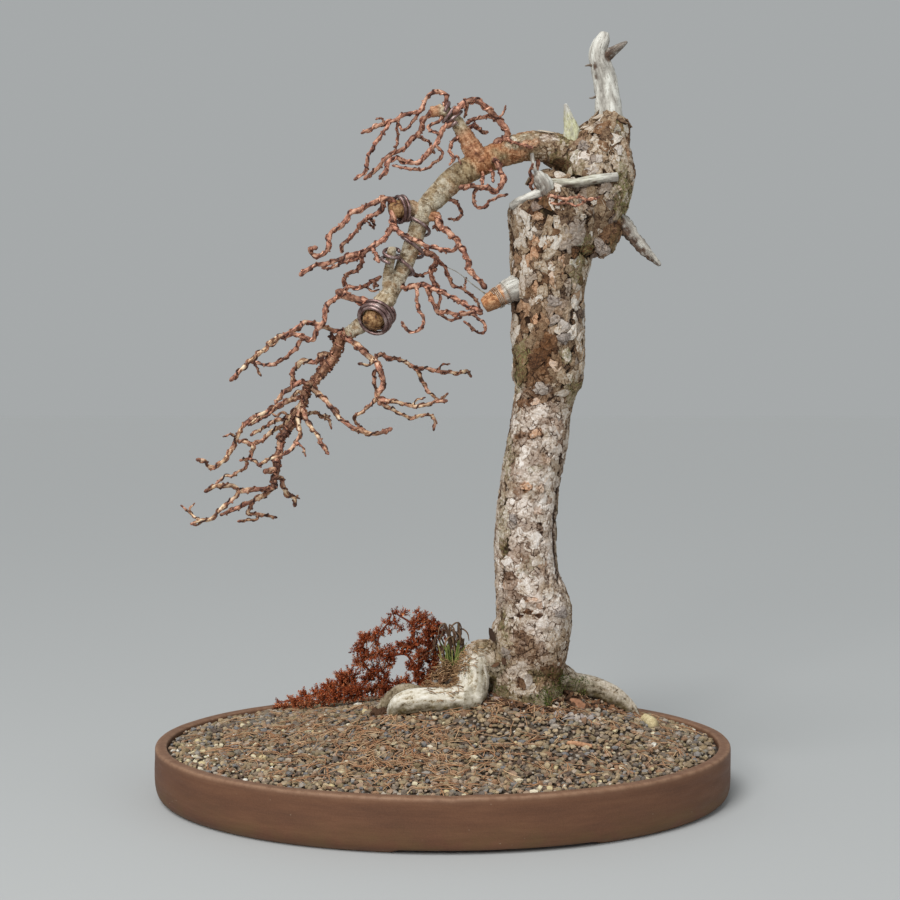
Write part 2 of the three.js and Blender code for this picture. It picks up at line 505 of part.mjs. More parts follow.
// Plastic mesh over a drain hole, under the soil.
function drainMesh(side, grow = 0) {
  const half = drain.mesh / 2 + grow;
  const center = side * drain.spread;
  const bottom = floorTop + (grow ? 0 : gap);
  const plate = boxOf(center - half, center + half, -half, half, bottom, floorTop + drain.meshThick + grow);
  if (grow) return plate;
  const pitch = (drain.mesh - drain.bar) / drain.cells;
  const cells = [];
  for (let i = 0; i < drain.cells * drain.cells; i += 1) {
    const x = center - half + drain.bar + pitch * (i % drain.cells);
    const y = -half + drain.bar + pitch * Math.floor(i / drain.cells);
    cells.push(boxOf(x, x + pitch - drain.bar, y, y + pitch - drain.bar, floorTop - 1, floorTop + 9));
  }
  return cut(plate, cells);
}

function soilSolid() {
  const inner = pot.wall + gap;
  const rings = 7;
  const under = [[edge, floorTop + gap], [inner + 4.5, floorTop + gap], [inner, floorTop + 5.5]];
  const top = Array.from({ length: rings + 1 }, (_, i) => [inner + ((edge - inner) * i) / rings, mound.rim]);
  const profile = [...under, ...top];
  const geometry = oval(profile, pot.sides);
  const place = geometry.attributes.position;
  for (let v = 0; v < place.count; v += 1) {
    const ring = (v % profile.length) - under.length;
    if (ring >= 0) {
      const x = place.getX(v);
      const y = place.getY(v);
      const grain = Math.sin(0.9 * x) * Math.sin(1.1 * y) + Math.sin(2.3 * x + 1.7 * y);
      place.setZ(v, groundHeight(x, y) + (ring > 0 && ring < rings ? 0.9 * grain : 0));
    }
  }
  const random = randomFrom(gravel.seed);
  const stones = [];
  for (let i = 0; i < gravel.stones; i += 1) {
    const turn = random() * 2 * Math.PI;
    const out = Math.sqrt(random()) * 0.93;
    const x = out * Math.cos(turn) * (pot.halfLength - pot.wall);
    const y = out * Math.sin(turn) * (pot.halfWidth - pot.wall);
    const size = gravel.smallest + (gravel.largest - gravel.smallest) * random();
    const stone = new THREE.OctahedronGeometry(size);
    stone.scale(1, 0.7 + 0.3 * random(), 0.6 + 0.3 * random());
    stone.rotateZ(6 * random());
    stone.translate(x, y, groundHeight(x, y) + size * 0.15);
    stones.push(solidOf(stone));
  }
  return joined([solidOf(geometry), ...stones]);
}

// Heather behind the left root: wiry stems from one crown, each with tufts of leaves along it.
const heatherForm = { stemFoot: 2, stemTip: 1.1, squash: 0.85, reach: 1.3 };
const heatherCrown = [-22, 96, 5.5, 72]; // x, z, radius and depth, like a limb's
const heatherStems = [ // x, z and depth of each tuft, and its radius
  [[-50, 100, 84, 5], [-75, 99, 98, 7], [-98, 99, 110, 8], [-120, 95, 124, 7], [-141, 91, 134, 5],
    [-160, 86, 142, 3]],
  [[-48, 104, 84, 5], [-68, 113, 92, 8], [-80, 126, 90, 8], [-82, 140, 86, 7], [-74, 150, 82, 6]],
  [[-36, 133, 70, 5], [-50, 133, 74, 6], [-64, 134, 80, 6], [-64, 152, 78, 4], [-54, 166, 76, 3]],
  [[-25, 115, 68, 8], [-24, 133, 66, 9], [-29, 148, 64, 8], [-30, 162, 66, 8], [-46, 174, 68, 3]],
  [[-12, 113, 76, 8], [-9, 128, 78, 9], [-9, 143, 74, 9], [-12, 158, 72, 9], [-20, 169, 70, 6]],
];

function heather(grow = 0) {
  const { stemFoot, stemTip, squash, reach } = heatherForm;
  const pieces = [rod([[-22, 84, 4, 72], heatherCrown, [-22, 104, 4, 72]].map(seen), 7, grow)];
  for (const tufts of heatherStems) {
    const stations = tufts.map(([x, z, depth], i) => (
      seen([x, z, stemFoot + ((stemTip - stemFoot) * (i + 1)) / tufts.length, depth])
    ));
    pieces.push(rod([seen([-22, 98, stemFoot, 72]), ...stations], 3, grow));
    tufts.forEach(([, , , radius], i) => {
      const tuft = new THREE.IcosahedronGeometry(radius + reach * grow, 0);
      tuft.rotateY(i + radius);
      tuft.scale(1, 1, squash);
      const { x, y, z } = stations[i].at;
      tuft.translate(x, y, z);
      pieces.push(solidOf(tuft));
    });
  }
  return joined(pieces);
}

// Grass and dry stems that stand beside the heather, as [x, z, depth] of foot, middle and tip.
const grassBlades = [
  [[8, 88, 52], [6, 122, 50], [1, 150, 46]], [[8.6, 87, 51], [9, 120, 50], [8, 146, 40]],
  [[9, 89, 53], [12, 116, 54], [17, 140, 60]], [[7.4, 88, 53], [4, 112, 56], [-3, 132, 64]],
  [[8.8, 88, 51.5], [12, 108, 48], [19, 126, 40]],
];
const dryStems = [
  [[14, 88, 60], [10, 130, 62], [8, 150, 62], [12, 160, 60], [16, 154, 58]],
  [[14.8, 87, 60.6], [16, 126, 66], [14, 148, 70], [9, 156, 70]],
];

function bladesFrom(routesOfBlades, radius, grow = 0) {
  return joined(routesOfBlades.map((points) => {
    const stations = points.map(([x, z, y], i) => seen([x, z, radius * (1 - (0.5 * i) / points.length), y]));
    return rod(smoothed(stations, points.length), 3, grow);
  }));
}

// Litter on the ground: a broken stick, a ringed bit of root and a flake of bark.
function litterPiece(kind, grow = 0) {
  const lying = {
    stick: { from: [118, -70], to: [141, -72], radius: 2.2, sides: 7, flat: 1 },
    rootBit: { from: [205, 22], to: [212, 4], radius: 5.5, sides: 9, flat: 1 },
    barkFlake: { from: [128, 14], to: [142, 10], radius: 5, sides: 6, flat: 0.35 },
  }[kind];
  const [a, b] = [lying.from, lying.to].map(([x, y]) => (
    new THREE.Vector3(x, y, groundHeight(x, y) + lying.radius * 0.55 * lying.flat)
  ));
  const waist = a.clone().lerp(b, 0.5);
  waist.z += 0.6;
  const stations = [a, waist, b].map((at, i) => ({ at, radius: lying.radius * (i === 1 ? 1.08 : 0.94) }));
  const thin = (angle) => (lying.flat < 1 ? -0.6 * Math.abs(Math.cos(angle)) : 0);
  return rod(stations, lying.sides, grow, thin);
}

const tree = new THREE.Group();
const names = {
  trunk: ['bole', 'head', 'shoulder', 'bough', 'rootLeft', 'rootLeftDrop', 'rootLeftRun', 'rootLeftBack',
    'rootRight', 'rootBack', 'rootFront', 'lump', 'gall', 'curlStub'],
  upper: ['bole', 'head', 'shoulder', 'bough', 'curlStub'],
};

// Wires wound round the limbs, each bent from one length.
const coils = {
  wire_crown: ['crownStem', { from: 0.56, to: 0.8, turns: 3, start: 0.4 }],
  wire_ball: ['ballStub', { from: 0.42, to: 0.86, turns: 2.6, start: 1.2 }],
  wire_cut_stub: ['coilStub', { from: 0.4, to: 0.96, turns: 4.2, start: 0.4, lift: 1.5 }],
  wire_curl: ['curlStub', { from: 0.62, to: 0.95, turns: 1.8, start: 0.4 }],
  wire_bough: ['bough', { from: 0.53, to: 0.71, turns: 3.2, start: 2.2 }],
};
const wireSolid = (name, grow = 0) => wound(coils[name][0], { ...coils[name][1], grow });
const wires = Object.keys(coils).map((name) => wireSolid(name));
const wireRoom = Object.keys(coils).map((name) => wireSolid(name, gap));

// The trunk with its roots, bough and short spurs grew as one piece.
const trunk = largest(cut(joined([...names.trunk.map((name) => limb(name)), spray(spurs)]), wireRoom));
const upperRoom = names.upper.map((name) => limb(name, gap));

// Branches and sprays: what each is made of and the limb that it springs from.
const branches = {
  branch_crown: { stem: 'crownStem', twigs: sprays.crown, seats: [] },
  branch_crest: { twigs: sprays.crest, seats: [] },
  branch_inner: { twigs: sprays.inner, seats: [] },
  branch_ball: { stem: 'ballStub', twigs: sprays.ball, seats: [] },
  branch_coil: { stem: 'coilStub', twigs: sprays.coil, seats: [] },
  branch_side: { stem: 'sideStub', twigs: sprays.side, seats: ['ballStub'] },
  branch_knee: { twigs: sprays.knee, seats: [] },
  branch_front: { twigs: sprays.front, seats: [] },
  branch_low: { stem: 'lowStem', twigs: sprays.low, seats: [] },
  branch_low_left: { twigs: sprays.lowLeft, seats: ['lowStem'] },
  branch_low_right: { twigs: sprays.lowRight, seats: ['lowStem'] },
};

function branchSolid({ stem, twigs, seats }) {
  const grown = [...(stem ? [limb(stem)] : []), spray(twigs)];
  const room = [...upperRoom, ...seats.map((name) => limb(name, gap)), ...wireRoom];
  return largest(cut(joined(grown), room));
}

// Dead wood: each bleached piece sits in the bark that closed round its foot.
const deadRod = (name, grow = 0) => rod(smoothed(deadwood[name].map(seen), 6), 7, grow);
const jins = {
  deadwood_apex: ['apex', 'apexSpur'],
  deadwood_snag: ['snag'],
  deadwood_knot: ['knot', 'bar', 'stem', 'ledge'],
  deadwood_jin: ['jin', 'jinSpur'],
  deadwood_stub: ['stub'],
};

function jinSolid(parts) {
  return largest(cut(joined(parts.map((name) => deadRod(name))), [trunk, ...upperRoom]));
}

tree.add(meshOf('pot', potSolid(), looks.pot));
tree.add(meshOf('drain_mesh_left', drainMesh(-1), looks.plastic));
tree.add(meshOf('drain_mesh_right', drainMesh(1), looks.plastic));

const plants = {
  heather: { build: heather, look: looks.heather },
  grass_tuft: { build: (grow) => bladesFrom(grassBlades, 1.1, grow), look: looks.grass },
  dry_stems: { build: (grow) => bladesFrom(dryStems, 1, grow), look: looks.dryStem },
  litter_stick: { build: (grow) => litterPiece('stick', grow), look: looks.twig },
  litter_root: { build: (grow) => litterPiece('rootBit', grow), look: looks.deadwood },
  litter_flake: { build: (grow) => litterPiece('barkFlake', grow), look: looks.dryStem },
};
const buried = ['bole', 'rootLeft', 'rootLeftDrop', 'rootLeftRun', 'rootLeftBack', 'rootRight', 'rootBack',
  'rootFront'];
const soilTools = [
  ...buried.map((name) => limb(name, gap)),
  drainMesh(-1, gap * 1.5),
  drainMesh(1, gap * 1.5),
  ...Object.values(plants).map(({ build }) => build(gap)),
];
tree.add(meshOf('soil', largest(cut(soilSolid(), soilTools)), looks.soil));
tree.add(meshOf('trunk', trunk, looks.bark));
for (const [name, parts] of Object.entries(jins)) {
  tree.add(meshOf(name, jinSolid(parts), looks.deadwood));
}
for (const [name, branch] of Object.entries(branches)) {
  tree.add(meshOf(name, branchSolid(branch), looks.twig));
}
Object.keys(coils).forEach((name, i) => tree.add(meshOf(name, wires[i], looks.wire)));
for (const [name, { build, look }] of Object.entries(plants)) {
  tree.add(meshOf(name, largest(build(0)), look));
}

// Taut guy wire from the knee branch down to the sawn stub.
const guyEnds = [[1, 522, 0, 3], [14, 516, 0, 3], [30, 503, 0, 4], [46, 491, 0, 6]].map(seen);
const guyRoom = [spray(sprays.knee, gap), deadRod('stub', gap)];
const guy = wireAlong(guyEnds.map(({ at }) => at), wire.guy, 6);
tree.add(meshOf('guy_wire', largest(cut(guy, guyRoom)), looks.steel));

export default tree;
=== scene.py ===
import math
import random

import bmesh
import bpy
import numpy as np
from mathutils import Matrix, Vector, kdtree, noise


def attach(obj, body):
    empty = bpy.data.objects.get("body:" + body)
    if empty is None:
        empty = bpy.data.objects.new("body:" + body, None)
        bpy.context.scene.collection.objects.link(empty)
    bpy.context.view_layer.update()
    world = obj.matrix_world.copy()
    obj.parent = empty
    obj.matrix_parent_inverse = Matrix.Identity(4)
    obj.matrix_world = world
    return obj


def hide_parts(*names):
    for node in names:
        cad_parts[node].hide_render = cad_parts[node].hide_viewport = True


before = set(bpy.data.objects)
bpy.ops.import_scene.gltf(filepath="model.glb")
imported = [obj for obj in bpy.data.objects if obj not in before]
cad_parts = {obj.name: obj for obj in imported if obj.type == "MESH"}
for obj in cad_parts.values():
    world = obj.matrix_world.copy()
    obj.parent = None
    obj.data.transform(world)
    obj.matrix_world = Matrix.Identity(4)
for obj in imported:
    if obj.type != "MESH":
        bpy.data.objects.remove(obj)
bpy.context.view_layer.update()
print("frame loaded:", len(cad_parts), "nodes")

# ---------- camera, floor and light ----------

studio = {
    "eye": (0.007, -1.350, 0.388), "lens": 54.0, "sensor": 36.0, "shiftUp": -50 / 900, "clip": (0.05, 60.0),
    "floorSize": 60.0, "floorColor": (175, 177, 177), "worldColor": (212, 216, 217), "worldPower": 0.58,
    "sun": (-34.0, 30.0, 1.7, 28.0),  # turn, height from overhead, strength and softness in degrees
}
lamps = [  # name, place, aim, size, watts, colour
    ("keyLight", (-0.75, -1.75, 1.15), (0.02, 0.0, 0.36), 0.7, 20.0, (1.0, 0.99, 0.965)),
    ("fillLight", (1.9, -1.4, 0.9), (0.0, 0.0, 0.35), 1.6, 7.0, (0.96, 0.98, 1.0)),
]


def shade(red, green, blue):
    # a colour given as it looks on a screen, as the shader wants it
    parts = [c / 255 for c in (red, green, blue)]
    return tuple(c / 12.92 if c < 0.04 else ((c + 0.055) / 1.055) ** 2.4 for c in parts) + (1.0,)


def placed(name, data):
    # a new object in the scene
    made = bpy.data.objects.new(name, data)
    bpy.context.scene.collection.objects.link(made)
    return made


def makeCamera():
    data = bpy.data.cameras.new("camera")
    data.lens, data.sensor_width, data.shift_y = studio["lens"], studio["sensor"], studio["shiftUp"]
    data.clip_start, data.clip_end = studio["clip"]
    camera = placed("camera", data)
    camera.location, camera.rotation_euler = studio["eye"], (math.pi / 2, 0, 0)
    bpy.context.scene.camera = camera


def makeLights():
    for name, place, aim, size, power, color in lamps:
        data = bpy.data.lights.new(name, "AREA")
        data.size, data.energy, data.color = size, power, color
        lamp = placed(name, data)
        lamp.location = place
        lamp.rotation_euler = (Vector(aim) - Vector(place)).to_track_quat("-Z", "Y").to_euler()
    turn, lean, power, softness = studio["sun"]
    data = bpy.data.lights.new("softSun", "SUN")
    data.energy, data.angle = power, math.radians(softness)
    placed("softSun", data).rotation_euler = (math.radians(lean), 0, math.radians(turn))
    world = bpy.data.worlds.new("studioWorld")
    bpy.context.scene.world = world
    world.use_nodes = True
    background = world.node_tree.nodes["Background"]
    background.inputs["Color"].default_value = shade(*studio["worldColor"])
    background.inputs["Strength"].default_value = studio["worldPower"]
    bpy.context.scene.view_settings.view_transform = "Standard"


makeCamera()
makeLights()

# ---------- setting out ----------

eye = (7.0, -1350.0, 388.0)  # viewing point that the front of the tree is composed for
twigGirth = 1.3              # wired twigs against the bare radii below

# Limbs, as (x, z, radius, depth). x and z are set out on the front elevation (the plane y = 0).
limbs = {
    "bole": [(83, 64, 33, 30), (83, 98, 36, 30), (83, 119, 35.5, 30), (85, 136, 38, 29), (87, 150, 39, 28),
        (90, 162, 37.5, 28), (91, 177, 37, 27), (89, 188, 35.5, 26), (84, 212, 31.5, 25), (82, 241, 30.5, 24),
        (84, 277, 29.5, 23), (88, 312, 29, 22), (95, 348, 29.5, 21), (99, 380, 28.5, 20), (102, 395, 29.5, 20),
        (104, 410, 33.5, 19), (106, 432, 33.5, 18), (105, 456, 35, 17), (105, 487, 34, 16), (106, 517, 37, 15),
        (110, 548, 41, 14), (112, 566, 45, 14), (113, 578, 45, 14), (121, 589, 36, 15), (130, 599, 26, 15),
        (136, 606, 14, 15)],
    "head": [(134, 538, 20, 18), (140, 558, 27, 18), (149, 580, 31.5, 16), (155, 606, 34, 14), (156, 626, 33, 14),
        (159, 642, 29.5, 14), (165, 656, 21, 14), (167, 667, 17, 14)],
    "shoulder": [(106, 546, 18, 8), (94, 562, 18, 4), (84, 574, 15, 2), (78, 580, 9, 2)],
    "bough": [(147, 628, 20, 12), (123, 635, 18, 9), (102, 641, 15, 6), (87, 642, 14.5, 3), (72, 639, 14, 0),
        (60, 635, 13.5, -2), (44, 628, 13, -5), (27, 619, 13, -8), (10, 608, 12.5, -10), (-5, 593, 11.5, -11),
        (-19, 577, 10, -12), (-25, 560, 9, -13), (-32, 539, 9, -14), (-39, 522, 8.5, -15), (-46, 507, 8, -16),
        (-55, 491, 9.5, -17), (-65, 477, 10, -18), (-79, 465, 8.5, -19), (-91, 457, 7, -20), (-100, 451, 6, -21)],
    "rootLeft": [(72, 120, 24, 26), (50, 127, 20, 24), (37, 132, 16, 19), (29, 131, 12, 15)],
    "rootLeftDrop": [(31, 131, 12, 13), (30, 118, 15, 9), (30, 104, 16, 4), (28, 91, 15, 0)],
    "rootLeftRun": [(34, 90, 14, 0), (20, 89, 14, -4), (4, 88, 13, -7), (-12, 88, 12.5, -8), (-27, 87, 12.5, -8),
        (-38, 85, 12, -6), (-45, 80, 10.5, -3), (-49, 66, 8, 2)],
    "rootLeftBack": [(-16, 90, 8, 2), (-31, 97, 7, 8), (-42, 98, 6.5, 12), (-50, 93, 6, 13), (-57, 86, 5.5, 13),
        (-62, 79, 5, 12), (-66, 66, 4, 12)],
    "rootRight": [(97, 114, 24, 32), (117, 110, 15, 36), (129, 105, 11.5, 40), (142, 103, 10.5, 44),
        (154, 100, 10.5, 46), (165, 95, 10.5, 46), (176, 89, 9, 46), (185, 82, 7, 45), (192, 73, 5.5, 43),
        (195, 58, 4, 40)],
    "rootBack": [(85, 112, 22, 40), (85, 100, 17, 62), (79, 88, 12, 84), (73, 74, 7, 100)],
    "rootFront": [(89, 94, 20, 12), (100, 77, 12, 0), (108, 65, 8, -8), (114, 53, 5, -14)],
    "lump": [(176, 662, 5, 8), (181, 667, 4, 6)],
    "gall": [(159, 535, 6, 0), (161, 543, 9.5, 0), (167, 555, 10.5, 4), (172, 568, 9, 8)],
    "crownStem": [(39, 625, 11, -8), (31, 636, 10.5, -10), (25, 647, 9, -12), (19, 657, 7.5, -14),
        (13, 667, 6.5, -16), (6, 674, 6, -18), (-2, 677, 6, -19), (-12, 676, 5.5, -20)],
    "ballStub": [(-21, 576, 8, -12), (-34, 580, 8, -15), (-43, 579, 9.5, -20), (-51, 577, 7, -25)],
    "coilStub": [(-55, 492, 9, -17), (-63, 479, 11, -24), (-68, 470, 11.5, -33), (-71, 466, 9.5, -39)],
    "curlStub": [(-53, 495, 6, -17), (-56, 506, 5, -21), (-54, 520, 5, -26), (-52, 532, 5, -29),
        (-51, 540, 4.6, -33)],
    "sideStub": [(-19, 572, 6, -12), (-11, 572, 5.5, -14), (-4, 571, 4.6, -17)],
    "lowStem": [(-91, 457, 6.5, -20), (-100, 452, 6.3, -21), (-105, 442, 6.2, -21), (-110, 429, 6, -22),
        (-120, 417, 5.6, -23), (-130, 405, 5.2, -24), (-137, 396, 5, -25), (-140, 384, 5, -26),
        (-147, 369, 4.8, -27), (-156, 358, 4.6, -28), (-162, 348, 4.3, -29), (-163, 339, 4.2, -29),
        (-167, 328, 3.8, -30), (-166, 318, 3.5, -30), (-169, 310, 3.2, -31), (-170, 300, 3, -32)],
}

# Dead wood, grey and white, set out in the same way.
deadwood = {
    "apex": [(167, 657, 14.5, 14), (166, 676, 13.5, 13), (163, 700, 11.8, 12), (159, 719, 11, 11),
        (155, 735, 9, 10), (160, 748, 7.2, 10), (162, 755, 4.5, 10)],
    "apexSpur": [(162, 732, 6, 10), (170, 737, 4.5, 6), (178, 742, 3, 3), (184, 746, 1.2, 1)],
    "nubHigh": [(151, 722, 1.6, 9), (146, 723, 1.2, 8), (142, 722, 0.5, 7)],
    "nubLow": [(154, 692, 1.2, 9), (149, 690, 0.9, 7), (146, 690, 0.4, 6)],
    "snag": [(130, 638, 8.5, 4), (128.7, 655, 8.3, 2), (125, 671, 4.8, 0), (122.5, 684, 1.6, -2)],
    "knot": [(105, 588, 4.5, -13), (104, 594, 7.5, -18), (102, 601, 8.6, -20), (98, 608, 8, -20),
        (95, 614, 4.5, -17)],
    "bar": [(103, 604, 4.5, -16), (118, 605, 4.6, -17), (132, 605, 4.4, -20), (150, 608, 4.8, -22),
        (174, 611, 4.4, -17)],
    "ledge": [(99, 595, 6, -19), (87, 590, 5.5, -15), (75, 585, 5, -8), (68, 581, 3.6, -5)],
    "stem": [(100, 604, 2.2, -18), (93, 616, 2, -17), (90, 626, 2, -14), (89, 634, 2, -9)],
    "jin": [(160, 566, 8, 12), (174, 568, 7.5, 9), (184, 558, 6.5, 6), (193, 547, 5.5, 5), (203, 537, 4.4, 3),
        (211, 529, 3.4, 2), (217, 523, 1.8, 1)],
    "jinSpur": [(180, 559, 4.5, 7), (178, 568, 4, 6), (178, 576, 2, 6)],
    "stub": [(88, 500, 13, 14), (72, 499, 13, 8), (58, 492, 10.5, 4), (48, 486, 9, 2), (41, 482, 7, 2)],
}

